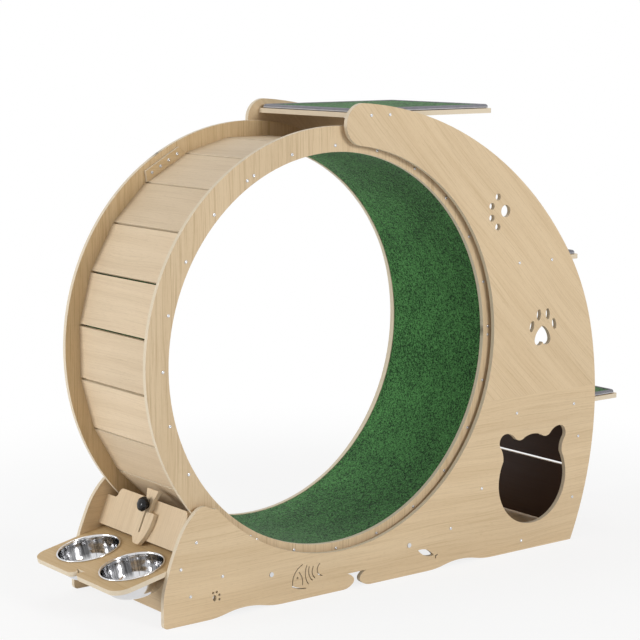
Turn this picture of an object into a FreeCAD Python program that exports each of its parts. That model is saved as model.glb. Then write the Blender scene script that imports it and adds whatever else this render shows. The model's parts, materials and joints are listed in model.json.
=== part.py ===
"""Cat exercise wheel with a feeding tray, a brake, two steps, a top platform and a sleeping cave.

Everything is cut from one thickness of plywood sheet.  A big open wheel of two built-up rings and
24 flat slats runs on four grooved rollers, between a front and a rear panel that boards hold apart.

Drawing frame: x to the right, y to the rear, z up, with the wheel's axis along y through the
origin.  The finished part is moved so that its origin is the middle of its footprint on the floor.
"""
import FreeCAD, Part

import math
import os

from FreeCAD import Vector

# ------------------------------------------------------------------ driving sizes, mm and degrees
PLY = 12.0                    # thickness of every panel, board, ring and slat
FIT = 0.3                     # gap between pieces that run past each other

# the wheel
RING_OUTER_RADIUS = 550.0
RING_BAND = 63.0              # from a ring's inner edge to its rim
RING_SEGMENTS = 3             # each ring is joined from this many pieces
WHEEL_WIDTH = 380.0           # over both rings
SLAT_COUNT = 24
SLAT_SINK = 16.0              # from a ring's inner edge to the middle of a slat's thickness
SLAT_GAP = 3.0                # between neighbouring slats, on the running side
JOINT_SCREW_OFFSET = 11.0     # a slat behind a ring joint has a screw this far each side of it
SPLICE_LENGTH = 134.0
SPLICE_HEIGHT = 26.0
SPLICE_THICKNESS = 9.0
SPLICE_TAPER = 10.0           # how much shorter each end is along the outer edge
SPLICE_SCREWS = (14.0, 43.0)  # from the joint, on both sides of it
CARPET_THICKNESS = 9.5

# the rollers that carry it
ROLLER_ANGLE = 22.4           # from straight down
ROLLER_GROOVE_RADIUS = 19.6
ROLLER_FLANGE = 4.5           # how far the flanges stand above the groove
ROLLER_WIDTH = 20.0
ROLLER_CHAMFER = 1.5
GROOVE_CLEARANCE = 0.5        # on each side of the ring
AXLE_RADIUS = 4.0
AXLE_CLEARANCE = 0.08
AXLE_HEAD_RADIUS = 6.0
AXLE_HEAD_HEIGHT = 3.0
AXLE_NUT_RADIUS = 7.5
AXLE_NUT_HEIGHT = 6.0
COLLAR_RADIUS = 7.0           # spacer between panel and roller

# the two panels, each in an upper and a lower piece
PANEL_TO_RING = 12.5
PANEL_LAP = 46.0              # the panels' round edge covers this much of the rings' rim
FLOOR_DROP = 56.4             # from the wheel's lowest point to the floor
HORN_ANGLE = 82.9             # where the upper panel's rounded end sits
HORN_RADIUS = 52.0
HORN_JOIN = 83.0              # where on the rounded end the outer curve ends
RIGHT_FOOT = (322.65, 448.9)  # the outlines' points: angle, and distance beyond the rim
FOOT_SLOPE = 65.4             # how steeply the outer curve leaves the right foot
OUTER_CURVE = ((358.04, 311.1), (13.83, 244.3))
LEFT_START = 222.27           # where the left edge leaves the panels' round edge
LEFT_HEADING = 179.4
LEFT_EDGE = ((219.9, -32.5), (218.27, -18.8), (217.96, -2.1), (219.9, 76.9), (224.1, 172.8), (226.43, 213.2))
FOOT_ROUNDING = 10.0
ARCH_CENTRES = (-294.0, 392.0)
ARCH_WIDTH = 220.0
ARCH_RISE = 13.0
SEAM_ABOVE_STEP = 44.7        # the joint between upper and lower panel, above the lower step
JOINT_PLATE_HEIGHT = 34.0
JOINT_PLATE_LENGTH = 320.0
JOINT_PLATE_START = 16.0      # from the rim
JOINT_SCREW_ROW = 9.0         # above and below the seam
JOINT_SCREW_COLUMNS = (40.0, 160.0, 280.0)

# cut-outs: place (angle, beyond the rim), then shape
DOOR_PLACE = (328.2, 213.5)
DOOR_BOTTOM = -134.0
DOOR_HALF = (((88.0, -98.0), (122.7, -20.0)), ((119.0, 16.0), (107.0, 48.0)), ((108.0, 66.0), (119.0, 89.0)),
             ((118.0, 110.0), (96.0, 122.0)), ((78.0, 117.5), (63.0, 105.0)), ((48.0, 98.6), (31.0, 104.5)),
             ((15.0, 109.4), (0.0, 111.0)))
ROUND_PAW_PLACE = (30.1, 73.9)
ROUND_PAW_PAD = 16.0
ROUND_PAW_TOES = ((-27.0, 38.0), (-48.0, 15.0), (-48.0, -15.5), (-27.0, -40.0))
ROUND_PAW_TOE = 9.0
HEART_PAW_PLACE = (357.7, 128.7)
HEART_PAW_PAD = ((0.0, 26.0), (21.0, 9.0), (29.0, -12.0), (17.0, -26.5), (0.0, -18.0))  # right half
HEART_PAW_TOES = ((-39.0, 26.5, 14.0), (-14.6, 55.7, 4.0), (18.0, 55.7, -4.0), (42.0, 27.5, -14.0))
HEART_TOE_LENGTH = 30.0
HEART_TOE_WIDTH = 15.0
SMALL_PAW_PLACE = (235.5, 120.7)
SMALL_PAW_PAD = (-3.0, -3.0)
SMALL_PAW_PAD_SIZE = (10.0, 16.0)
SMALL_PAW_TOES = ((-7.0, 10.5), (3.5, 11.0), (11.0, 3.0), (11.0, -8.0))
SMALL_PAW_TOE = 3.2
FISH_PLACE = (258.8, 8.6)
FISH_SLOT = 3.0
FISH_EYE = (-29.0, -2.5)
FISH_EYE_RADIUS = 3.0
FISH_BONES = (((-13.0, 29.0), (-39.5, 6.0), (-44.0, -21.5)), ((-45.0, -21.5), (-24.0, -29.5), (-3.0, -33.0)),
              ((-25.0, 12.0), (-15.0, -5.0), (-14.0, -23.0)), ((0.0, 25.0), (-5.0, -1.0), (5.0, -24.0)),
              ((7.5, 21.0), (6.0, 1.0), (17.5, -16.5)), ((20.0, 19.0), (16.0, 3.0), (25.0, -11.5)),
              ((40.0, 23.0), (32.0, 4.0), (48.0, -9.0)))
MINNOW_PLACE = (296.3, 71.0)
MINNOW_LENGTH = 58.0
MINNOW_HALF_WIDTH = 8.0
MINNOW_TILT = -22.0
MINNOW_TAIL = ((33.0, 0.0), (40.0, 6.0), (42.0, 3.5), (38.0, -1.0), (40.0, -7.0), (36.0, -8.0))
NOTCH_CENTRE = 48.0
NOTCH_HEIGHT = 39.4
NOTCH_HEAD = 32.0             # half widths, from the top down
NOTCH_SIDE = ((12.0, 28.0), (12.8, 12.0))   # half width and height, above and below the waist
NOTCH_MOUTH = 44.0

# boards between the panels
STEP_TO_RIM = 22.0            # a step's inner end stays this far from the wheel
STEP_CORNER = 9.0
UPPER_STEP_RISE = 173.4       # above the wheel's axis
UPPER_STEP_LENGTH = 275.0
UPPER_STEP_SCREWS = (46.0, 163.0)
LOWER_STEP_DROP = 228.2       # below the axis
LOWER_STEP_LENGTH = 457.0
LOWER_STEP_SCREWS = (64.0, 275.0)
PLATFORM_ABOVE_RIM = 17.6
PLATFORM_LEFT = 52.0
PLATFORM_LENGTH = 448.0
PLATFORM_SCREWS = (40.5, 98.8)
PAD_THICKNESS = 10.0
PAD_MARGIN = 5.0
PAD_ROUNDING = 14.0
PAD_CROWN = 1.5
PAD_LAYERS = ((2.0, 0.0), (0.0, 4.0), (1.2, 8.5))   # inset and height, below the rounded top
CAVE_FLOOR_HEIGHT = 26.2      # middle of the board above the ground
CAVE_FLOOR_RIGHT = 804.0
CAVE_FLOOR_SCREW = 194.0      # from the right end
END_WALL_TILT = 6.45
END_WALL_FOOT = 15.0          # from the cave floor's right end
END_WALL_SLIT = 6.0
END_WALL_END_GAP = 5.0
INNER_WALL_PLACE = (318.3, 74.2)
INNER_WALL_TILT = 24.0
INNER_WALL_TOP_GAP = 20.0
INNER_WALL_TO_FLOOR = 11.0
CROSS_BOARD_ANGLE = 35.35     # from straight down
CROSS_BOARD_BEYOND = 70.4
CROSS_BOARD_HEIGHT = 100.0

# brake board, brake slide, its knob and bolt
LOCK_PLACE = (224.45, 85.3)   # lower edge of the brake board's outer face
LOCK_TILT = 66.8              # slope of the board, from level
LOCK_END_HEIGHT = 75.0
LOCK_MIDDLE_HEIGHT = 100.5
LOCK_MIDDLE_HALF = 157.0
LOCK_MIDDLE_TAPER = 4.0       # how much less that is at the top
LOCK_CORNER = 15.0
LOCK_FILLET = 11.75           # where the middle rises from the ends
LOCK_SCREW = 39.0
SLIDE_TONGUE = -15.0          # heights from the board's lower edge
SLIDE_TONGUE_RISE = 2.0       # how far the tongue's tip stands below its corners
SLIDE_BELLY_DROP = 4.0        # the shield's side is drawn in this far below its middle
SLIDE_BELLY_IN = 5.0
SLIDE_SHOULDER = 68.0
SLIDE_TOP = 123.0
SLIDE_HALF = 38.0
SLIDE_NECK_HALF = 14.0
SLIDE_NECK_TOP = 92.0
SLIDE_HEAD_HALF = 26.0
SLOT_START = 15.0
SLOT_END = 98.0
SLOT_CLEARANCE = 0.3
SLOT_ROUNDING = 3.1           # of the slot's corners
BOLT_RADIUS = 2.9
BOLT_HEIGHT = 82.0
BOLT_HEAD_RADIUS = 7.0
BOLT_HEAD_HEIGHT = 3.0
BOLT_END_GAP = 1.0            # between its end and the bottom of the knob's bore
KNOB_RADIUS = 19.5
KNOB_VALLEY = 2.2
KNOB_LOBES = 7
KNOB_HEIGHT = 27.0
KNOB_HUB_RADIUS = 9.0
KNOB_HUB_HEIGHT = 8.0
KNOB_BORE_DEPTH = 16.0
KNOB_DOME = ((0.0, 9.0), (3.0, 4.5), (9.0, 1.0))   # in from the rim, down from the top
KNOB_UNDERCUT = (5.0, 4.0)    # the same at the grip's lower edge, upwards
THREAD_CLEARANCE = 0.05

# feeding tray and bowls
TRAY_TILT = 12.0
TRAY_BELOW_LOCK = 13.3        # under the brake board's lower edge
TRAY_BACK = 13.7              # behind that edge, along the tray
TRAY_LENGTH = 212.8
TRAY_CORNER = 40.0
TRAY_SCREW = 41.7             # from the tray's back end
TRAY_NOTCH_DEPTH = 25.0
TRAY_NOTCH_INNER = 20.0       # half widths, here and at the mouth
TRAY_NOTCH_MOUTH = 26.0
TRAY_NOTCH_SIDE = ((7.0, 10.5), (17.0, 9.5))   # depth and half width, each side of the waist
BOWL_PITCH = 201.6
BOWL_FROM_BACK = 106.0
BOWL_RADIUS = 76.0            # body just under the rim
BOWL_RIM = 4.5                # how far the rolled rim stands out from the body
BOWL_RIM_HEIGHT = 4.0
BOWL_DEPTH = 62.0
BOWL_TAPER = 12.0             # how much narrower the body is at the bottom bend
BOWL_BEND = 11.0
BOWL_WALL = 1.2
BOWL_CLEARANCE = 1.0
FEEDER_BOARD_DROP = 82.0      # middle of the board below the tray
FEEDER_BOARD_HEIGHT = 120.0

# screws: six flats are enough for a piece this small
SCREW_HEAD_RADIUS = 3.5
SCREW_HEAD_HEIGHT = 1.6
SCREW_RADIUS = 1.8
SCREW_BITE = 22.0             # how deep a long screw reaches into a board's end
SPLICE_SCREW_BITE = 8.0       # how deep a splice screw reaches into the ring
JOINT_SCREW_BITE = 8.0        # how deep a joint-plate screw reaches into the panel
SCREW_CLEARANCE = 0.05
SCREW_SIDES = 6

# ------------------------------------------------------------------ places worked out from them
half_wheel = WHEEL_WIDTH / 2
ring_inner = RING_OUTER_RADIUS - RING_BAND
slat_middle = ring_inner + SLAT_SINK
slat_inside = slat_middle - PLY / 2
slat_outside = slat_middle + PLY / 2
slat_width = 2 * slat_inside * math.tan(math.pi / SLAT_COUNT) - SLAT_GAP
slat_length = WHEEL_WIDTH - 2 * PLY
slat_step = 360.0 / SLAT_COUNT
slats_per_segment = SLAT_COUNT // RING_SEGMENTS
splice_middle = slat_outside + SPLICE_HEIGHT / 2

inside = half_wheel + PANEL_TO_RING          # y of the panels' inner faces
outside = inside + PLY
panel_edge = RING_OUTER_RADIUS - PANEL_LAP
floor_z = -(RING_OUTER_RADIUS + FLOOR_DROP)

platform_z = RING_OUTER_RADIUS + PLATFORM_ABOVE_RIM + PLY / 2
lower_step_z = -LOWER_STEP_DROP
seam_z = lower_step_z + SEAM_ABOVE_STEP
cave_floor_z = floor_z + CAVE_FLOOR_HEIGHT
cave_top = lower_step_z - PLY / 2
cave_bottom = cave_floor_z + PLY / 2

roller_distance = RING_OUTER_RADIUS + FIT + ROLLER_GROOVE_RADIUS
ring_centre_y = half_wheel - PLY / 2

parts = {}
board_screws = []             # (x, z) of every screw through a panel into a board's end


# ------------------------------------------------------------------ drawing helpers
def around(angle, beyond):
    """The point (x, z) at an angle round the wheel's axis, a distance beyond the rim."""
    radius = RING_OUTER_RADIUS + beyond
    return radius * math.cos(math.radians(angle)), radius * math.sin(math.radians(angle))


def swung(x, z, angle):
    """The point (x, z) turned round the origin."""
    a = math.radians(angle)
    return x * math.cos(a) - z * math.sin(a), x * math.sin(a) + z * math.cos(a)


def rim_x(z, gap):
    """How far out a point at height z lies when it is a gap away from the rim."""
    return math.sqrt((RING_OUTER_RADIUS + gap) ** 2 - z ** 2)


def upright(x, z):
    """A drawing point on the side view."""
    return Vector(x, 0, z)


def lying(x, y):
    """A drawing point on a plan view."""
    return Vector(x, y, 0)


class Outline:
    """A closed outline, drawn edge by edge on the side view or on a plan view."""

    def __init__(self, start, plane=upright):
        self.plane = plane
        self.start = self.here = start
        self.heading = 0.0            # in which direction the last sweep ended
        self.edges = []

    def line(self, *points):
        for point in points:
            self.edges.append(Part.LineSegment(self.plane(*self.here), self.plane(*point)).toShape())
            self.here = point
        return self

    def arc(self, through, end):
        ends = [self.plane(*p) for p in (self.here, through, end)]
        self.edges.append(Part.Arc(*ends).toShape())
        self.here = end
        return self

    def sweep(self, heading, *points):
        """Arcs on to each point, every one tangent to the last; the first sets off at heading."""
        for point in points:
            du, dw = point[0] - self.here[0], point[1] - self.here[1]
            turn = math.radians(heading) - math.atan2(dw, du)
            turn = (turn + math.pi) % (2 * math.pi) - math.pi
            bulge = math.tan(turn / 2) / 2
            middle = (self.here[0] + du / 2 - dw * bulge, self.here[1] + dw / 2 + du * bulge)
            heading = math.degrees(math.atan2(dw, du) - turn)
            self.arc(middle, point)
        self.heading = heading
        return self

    def face(self):
        if self.here != self.start:
            self.line(self.start)
        return Part.Face(Part.Wire(self.edges))


def rounded(corners, plane=upright):
    """A polygon whose corners (x, z, radius) are rounded, as a face."""
    edges = []
    count = len(corners)
    ends = []
    for i in range(count):
        before, corner, after = (plane(*corners[k % count][:2]) for k in (i - 1, i, i + 1))
        radius = corners[i][2]
        back, on = (before - corner).normalize(), (after - corner).normalize()
        if radius == 0:
            ends.append((corner, corner))
            continue
        half = math.acos(max(-1.0, min(1.0, back.dot(on)))) / 2
        reach = radius / math.tan(half)
        middle = corner + (back + on).normalize() * (radius / math.sin(half))
        nearest = middle + (corner - middle).normalize() * radius
        start, end = corner + back * reach, corner + on * reach
        edges.append(Part.Arc(start, nearest, end).toShape())
        ends.append((start, end))
    for i in range(count):
        a, b = ends[i][1], ends[(i + 1) % count][0]
        if a.distanceToPoint(b) > 1e-6:
            edges.append(Part.LineSegment(a, b).toShape())
    return Part.Face(Part.Wire(Part.__sortEdges__(edges)))


def disc(x, z, radius):
    return Part.Face(Part.Wire(Part.makeCircle(radius, upright(x, z), Vector(0, 1, 0))))


def oval(x, z, width, height, lean=0.0):
    """An oval of four arcs, through an ellipse's ends and the points halfway, leaning from upright."""
    def spot(u, w):
        du, dw = swung(u * width / 2, w * height / 2, lean)
        return x + du, z + dw

    half = math.sqrt(0.5)
    outline = Outline(spot(half, half))
    outline.arc(spot(0, 1), spot(-half, half)).arc(spot(-1, 0), spot(-half, -half))
    outline.arc(spot(0, -1), spot(half, -half)).arc(spot(1, 0), spot(half, half))
    return outline.face()


def thick(face, y0, y1):
    """A side-view face made solid between two depths."""
    solid = face.copy()
    solid.translate(Vector(0, y0, 0))
    return solid.extrude(Vector(0, y1 - y0, 0))


def prism(x, z, radius, y0, y1):
    """A six-sided bar along y, for a screw or its hole."""
    corners = [swung(radius, 0, 360.0 * k / SCREW_SIDES) for k in range(SCREW_SIDES)]
    points = [upright(x + u, z + w) for u, w in corners + corners[:1]]
    return thick(Part.Face(Part.makePolygon(points)), y0, y1)


def revolved(profile):
    """A profile of (radius, height) corners turned round the z axis."""
    points = [Vector(r, 0, h) for r, h in profile + profile[:1]]
    return Part.Face(Part.makePolygon(points)).revolve(Vector(0, 0, 0), Vector(0, 0, 1), 360)


def cylinder(x, z, radius, y0, y1):
    return Part.makeCylinder(radius, y1 - y0, Vector(x, y0, z), Vector(0, 1, 0))


def tilted(shape, slope, place):
    """A piece drawn with x along and z out of its plane, tilted up by slope and put in place."""
    moved = shape.copy()
    moved.rotate(Vector(0, 0, 0), Vector(0, 1, 0), -slope)
    moved.translate(upright(*place))
    return moved


def mirrored(shape):
    """The same piece on the other side of the wheel's middle plane."""
    return shape.mirror(Vector(0, 0, 0), Vector(0, 1, 0))


def less(shape, tools):
    return shape.cut(Part.makeCompound(tools))


# ------------------------------------------------------------------ screws
def screw(x, z, head_y, direction, length):
    """A screw whose head rests on the plane y = head_y and whose shank runs along direction."""
    head = prism(x, z, SCREW_HEAD_RADIUS, *sorted((head_y, head_y - direction * SCREW_HEAD_HEIGHT)))
    shank = prism(x, z, SCREW_RADIUS, *sorted((head_y, head_y + direction * length)))
    return head.fuse(shank)


def screw_hole(x, z, y0, y1):
    return prism(x, z, SCREW_RADIUS + SCREW_CLEARANCE, y0, y1)


def blind(near, far):
    """The two depths of a blind hole, which runs on past the screw's tip by the clearance."""
    return sorted((near, far + math.copysign(SCREW_CLEARANCE, far - near)))


# ------------------------------------------------------------------ the wheel
def joint_angles():
    return [slat_step * slats_per_segment * k for k in range(RING_SEGMENTS)]


def slat_screw_places(index):
    """Where the screws of one slat are: one in its middle, or one each side of a ring joint."""
    angle = slat_step * index
    if index % slats_per_segment == 0:
        return [swung(slat_middle, side * JOINT_SCREW_OFFSET, angle) for side in (-1, 1)]
    return [swung(slat_middle, 0, angle)]


def splice_screw_places(angle):
    return [swung(splice_middle, side * offset, angle) for offset in SPLICE_SCREWS for side in (-1, 1)]


def make_slat(index):
    blank = Part.makeBox(PLY, slat_length, slat_width,
                         Vector(slat_inside, -slat_length / 2, -slat_width / 2))
    blank.rotate(Vector(0, 0, 0), Vector(0, 1, 0), -slat_step * index)
    holes = []
    for x, z in slat_screw_places(index):
        for side in (-1, 1):
            end = side * slat_length / 2
            holes.append(screw_hole(x, z, *blind(end, end - side * SCREW_BITE)))
    return less(blank, holes)


def make_ring(side):
    """One ring: its segments meet behind the splice plates."""
    outer_face, inner_face = side * half_wheel, side * (half_wheel - PLY)
    holes = [screw_hole(x, z, *sorted((outer_face, inner_face)))
             for k in range(SLAT_COUNT) for x, z in slat_screw_places(k)]
    holes += [screw_hole(x, z, *blind(inner_face, inner_face + side * SPLICE_SCREW_BITE))
              for angle in joint_angles() for x, z in splice_screw_places(angle)]
    segments = []
    for start in joint_angles():
        end = start + slat_step * slats_per_segment
        middle = (start + end) / 2
        outline = Outline(swung(ring_inner, 0, start))
        outline.line(swung(RING_OUTER_RADIUS, 0, start))
        outline.arc(swung(RING_OUTER_RADIUS, 0, middle), swung(RING_OUTER_RADIUS, 0, end))
        outline.line(swung(ring_inner, 0, end))
        outline.arc(swung(ring_inner, 0, middle), swung(ring_inner, 0, start))
        segments.append(less(thick(outline.face(), *sorted((inner_face, outer_face))), holes))
    return segments


def make_splice(angle, side):
    """The strip screwed on over a ring joint, on the ring's inner face."""
    inner_face = side * (half_wheel - PLY)
    free_face = inner_face - side * SPLICE_THICKNESS
    half = SPLICE_LENGTH / 2
    low, high = slat_outside, slat_outside + SPLICE_HEIGHT
    corners = [(low, -half), (high, SPLICE_TAPER - half), (high, half - SPLICE_TAPER), (low, half)]
    outline = Outline(swung(*corners[0], angle)).line(*(swung(*c, angle) for c in corners[1:]))
    holes = [screw_hole(x, z, *sorted((inner_face, free_face))) for x, z in splice_screw_places(angle)]
    return less(thick(outline.face(), *sorted((inner_face, free_face))), holes)


def make_wheel_screws():
    screws = []
    for side in (-1, 1):
        for k in range(SLAT_COUNT):
            for x, z in slat_screw_places(k):
                screws.append(screw(x, z, side * half_wheel, -side, PLY + SCREW_BITE))
        free_face = side * (half_wheel - PLY - SPLICE_THICKNESS)
        for angle in joint_angles():
            for x, z in splice_screw_places(angle):
                screws.append(screw(x, z, free_face, side, SPLICE_THICKNESS + SPLICE_SCREW_BITE))
    return screws


def make_carpet():
    """The running carpet: a round mat inside the slats, between the rings."""
    back = slat_inside - FIT
    half = slat_length / 2 - FIT
    return cylinder(0, 0, back, -half, half).cut(cylinder(0, 0, back - CARPET_THICKNESS, -half, half))


# ------------------------------------------------------------------ rollers and their axles
def roller_places():
    """Name, x, z and side of each roller."""
    places = []
    for side, side_name in ((-1, "front"), (1, "rear")):
        for hand, hand_name in ((-1, "left"), (1, "right")):
            x, z = swung(0, -roller_distance, hand * ROLLER_ANGLE)
            places.append((side_name + "_" + hand_name, x, z, side))
    return places


def make_roller(x, z, side):
    groove = PLY / 2 + GROOVE_CLEARANCE
    rim = ROLLER_WIDTH / 2
    flange = ROLLER_GROOVE_RADIUS + ROLLER_FLANGE
    bore = AXLE_RADIUS + AXLE_CLEARANCE
    half = [(bore, rim), (flange - ROLLER_CHAMFER, rim), (flange, rim - ROLLER_CHAMFER),
            (ROLLER_GROOVE_RADIUS, groove)]
    wheel = revolved(half + [(r, -h) for r, h in reversed(half)])
    wheel.rotate(Vector(0, 0, 0), Vector(1, 0, 0), 90)
    wheel.translate(Vector(x, side * ring_centre_y, z))
    return wheel


def make_axle(x, z, side):
    """A bolt through the panel, the collar that spaces the roller, and the nut that keeps it."""
    roller_out = side * (ring_centre_y + ROLLER_WIDTH / 2 + FIT)
    roller_in = side * (ring_centre_y - ROLLER_WIDTH / 2 - FIT)
    nut_end = roller_in - side * AXLE_NUT_HEIGHT
    bolt = cylinder(x, z, AXLE_RADIUS, *sorted((side * outside, nut_end)))
    head = cylinder(x, z, AXLE_HEAD_RADIUS, *sorted((side * outside, side * (outside + AXLE_HEAD_HEIGHT))))
    bore = cylinder(x, z, AXLE_RADIUS + AXLE_CLEARANCE, *sorted((side * outside, nut_end)))
    collar = cylinder(x, z, COLLAR_RADIUS, *sorted((side * inside, roller_out))).cut(bore)
    nut = prism(x, z, AXLE_NUT_RADIUS, *sorted((roller_in, nut_end))).cut(bore)
    return [bolt.fuse(head), collar, nut]


# ------------------------------------------------------------------ the panels
def panel_outline():
    """The whole side panel, before its seam is cut."""
    left_x = around(*LEFT_EDGE[-1])[0]
    right_x = around(*RIGHT_FOOT)[0]
    outer = [around(*p) for p in OUTER_CURVE]
    horn_x, horn_z = around(HORN_ANGLE, HORN_RADIUS - PANEL_LAP)
    join_x, join_z = swung(HORN_RADIUS, 0, HORN_JOIN)
    horn_top = (horn_x + join_x, horn_z + join_z)
    horn_foot = swung(panel_edge, 0, HORN_ANGLE)
    horn_side = (horn_x + HORN_RADIUS * math.cos(math.radians(HORN_ANGLE + 90)),
                 horn_z + HORN_RADIUS * math.sin(math.radians(HORN_ANGLE + 90)))
    edge_start = swung(panel_edge, 0, LEFT_START)
    edge_middle = swung(-panel_edge, 0, (HORN_ANGLE + LEFT_START) / 2)
    outline = Outline((left_x + FOOT_ROUNDING, floor_z))
    for centre in sorted(ARCH_CENTRES + (NOTCH_CENTRE,)):
        if centre == NOTCH_CENTRE:
            draw_notch(outline)
        else:
            draw_arch(outline, centre)
    outline.line((right_x, floor_z))
    outline.sweep(FOOT_SLOPE, *outer, horn_top)
    outline.arc(horn_side, horn_foot)
    outline.arc(edge_middle, edge_start)
    outline.sweep(LEFT_HEADING, *(around(*p) for p in LEFT_EDGE))
    outline.line((left_x, floor_z + FOOT_ROUNDING))
    corner = FOOT_ROUNDING * (1 - math.sqrt(0.5))
    outline.arc((left_x + corner, floor_z + corner), (left_x + FOOT_ROUNDING, floor_z))
    return outline.face()


def draw_arch(outline, centre):
    """A shallow hollow in the lower edge, so that the panel stands on its feet."""
    half = ARCH_WIDTH / 2
    outline.line((centre - half, floor_z))
    outline.sweep(0.0, (centre - half / 2, floor_z + ARCH_RISE / 2), (centre, floor_z + ARCH_RISE),
                  (centre + half / 2, floor_z + ARCH_RISE / 2), (centre + half, floor_z))


def draw_notch(outline):
    """The flared notch in the middle of the lower edge, narrowest at its waist."""
    top_z = floor_z + NOTCH_HEIGHT
    side = [(half, floor_z + height) for half, height in NOTCH_SIDE]
    outline.line((NOTCH_CENTRE - NOTCH_MOUTH, floor_z))
    outline.sweep(0.0, *((NOTCH_CENTRE - half, z) for half, z in reversed(side)),
                  (NOTCH_CENTRE - NOTCH_HEAD, top_z))
    back = 360.0 - outline.heading
    outline.line((NOTCH_CENTRE + NOTCH_HEAD, top_z))
    outline.sweep(back, *((NOTCH_CENTRE + half, z) for half, z in side),
                  (NOTCH_CENTRE + NOTCH_MOUTH, floor_z))


def door_face():
    """A cat's head: a round face, a neck at each side and two ears."""
    x, z = around(*DOOR_PLACE)
    outline = Outline((x, z + DOOR_BOTTOM))
    for through, end in DOOR_HALF:
        outline.arc((x + through[0], z + through[1]), (x + end[0], z + end[1]))
    starts = [end for through, end in DOOR_HALF[:-1]]
    for through, end in zip(reversed([half[0] for half in DOOR_HALF]), reversed([(0.0, DOOR_BOTTOM)] + starts)):
        outline.arc((x - through[0], z + through[1]), (x - end[0], z + end[1]))
    return outline.face()


def round_paw_faces():
    x, z = around(*ROUND_PAW_PLACE)
    return [disc(x, z, ROUND_PAW_PAD)] + [disc(x + u, z + w, ROUND_PAW_TOE) for u, w in ROUND_PAW_TOES]


def heart_paw_faces():
    """A pad with its point up and two lobes down, and four long toes."""
    x, z = around(*HEART_PAW_PLACE)
    right, left = ([(x + hand * u, z + w) for u, w in HEART_PAW_PAD] for hand in (1, -1))
    pad = Outline(right[0]).arc(right[1], right[2]).arc(right[3], right[4])
    pad.arc(left[3], left[2]).arc(left[1], left[0])
    toes = [oval(x + u, z + w, HEART_TOE_WIDTH, HEART_TOE_LENGTH, -lean)
            for u, w, lean in HEART_PAW_TOES]
    return [pad.face()] + toes


def small_paw_faces():
    x, z = around(*SMALL_PAW_PLACE)
    pad = oval(x + SMALL_PAW_PAD[0], z + SMALL_PAW_PAD[1], *SMALL_PAW_PAD_SIZE)
    return [pad] + [disc(x + u, z + w, SMALL_PAW_TOE) for u, w in SMALL_PAW_TOES]


def bent_slot(start, middle, end):
    """A slot of even width along the arc through three points."""
    arc = Part.Arc(upright(*start), upright(*middle), upright(*end)).toShape()
    centre = arc.Curve.Center
    half = FISH_SLOT / 2

    def out(point, offset):
        ray = upright(*point) - centre
        spot = centre + ray * ((ray.Length + offset) / ray.Length)
        return spot.x, spot.z

    outline = Outline(out(start, half)).arc(out(middle, half), out(end, half))
    outline.line(out(end, -half)).arc(out(middle, -half), out(start, -half))
    return outline.face()


def fish_faces():
    """A fish skeleton of narrow slots, with a round eye."""
    x, z = around(*FISH_PLACE)
    bones = [bent_slot(*[(x + u, z + w) for u, w in bone]) for bone in FISH_BONES]
    head = bones[0].fuse(bones[1]).removeSplitter()
    return head.Faces + bones[2:] + [disc(x + FISH_EYE[0], z + FISH_EYE[1], FISH_EYE_RADIUS)]


def minnow_faces():
    """A small fish: a lens with a separate forked tail."""
    x, z = around(*MINNOW_PLACE)
    half = MINNOW_LENGTH / 2

    def spot(u, w):
        du, dw = swung(u, w, MINNOW_TILT)
        return x + du, z + dw

    lens = Outline(spot(-half, 0)).arc(spot(0, MINNOW_HALF_WIDTH), spot(half, 0))
    lens.arc(spot(0, -MINNOW_HALF_WIDTH), spot(-half, 0))
    tail = Outline(spot(*MINNOW_TAIL[0])).line(*(spot(*p) for p in MINNOW_TAIL[1:]))
    return [lens.face(), tail.face()]


def joint_screw_places():
    start = rim_x(seam_z, JOINT_PLATE_START)
    return [(start + u, seam_z + row) for u in JOINT_SCREW_COLUMNS for row in (-JOINT_SCREW_ROW, JOINT_SCREW_ROW)]


def make_panels():
    """The front panel's lower and upper pieces; the rear ones are their mirror images."""
    face = panel_outline()
    cuts = [door_face()] + round_paw_faces() + heart_paw_faces() + small_paw_faces()
    cuts += fish_faces() + minnow_faces()
    through = [thick(cut, -outside - 1, -inside + 1) for cut in cuts]
    through += [screw_hole(x, z, -outside - 1, -inside + 1) for x, z in board_screws]
    for name, x, z, side in roller_places():
        if side < 0:
            through.append(cylinder(x, z, AXLE_RADIUS + AXLE_CLEARANCE, -outside - 1, -inside + 1))
    through += [screw_hole(x, z, *blind(-inside, -inside - JOINT_SCREW_BITE)) for x, z in joint_screw_places()]
    panel = less(thick(face, -outside, -inside), through)
    box = panel.BoundBox
    below = Part.makeBox(box.XLength + 2, 2 * outside, seam_z - box.ZMin + 1,
                         Vector(box.XMin - 1, -outside - 1, box.ZMin - 1))
    return panel.common(below), panel.cut(below)


def make_joint_plate(side):
    """The strip behind the seam between the two pieces of a panel."""
    start = rim_x(seam_z, JOINT_PLATE_START)
    low, high = seam_z - JOINT_PLATE_HEIGHT / 2, seam_z + JOINT_PLATE_HEIGHT / 2
    end = start + JOINT_PLATE_LENGTH
    face = Outline((start, low)).line((end, low), (end, high), (start, high)).face()
    depth = sorted((side * inside, side * (inside - SPLICE_THICKNESS)))
    return less(thick(face, *depth), [screw_hole(x, z, *depth) for x, z in joint_screw_places()])


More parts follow.
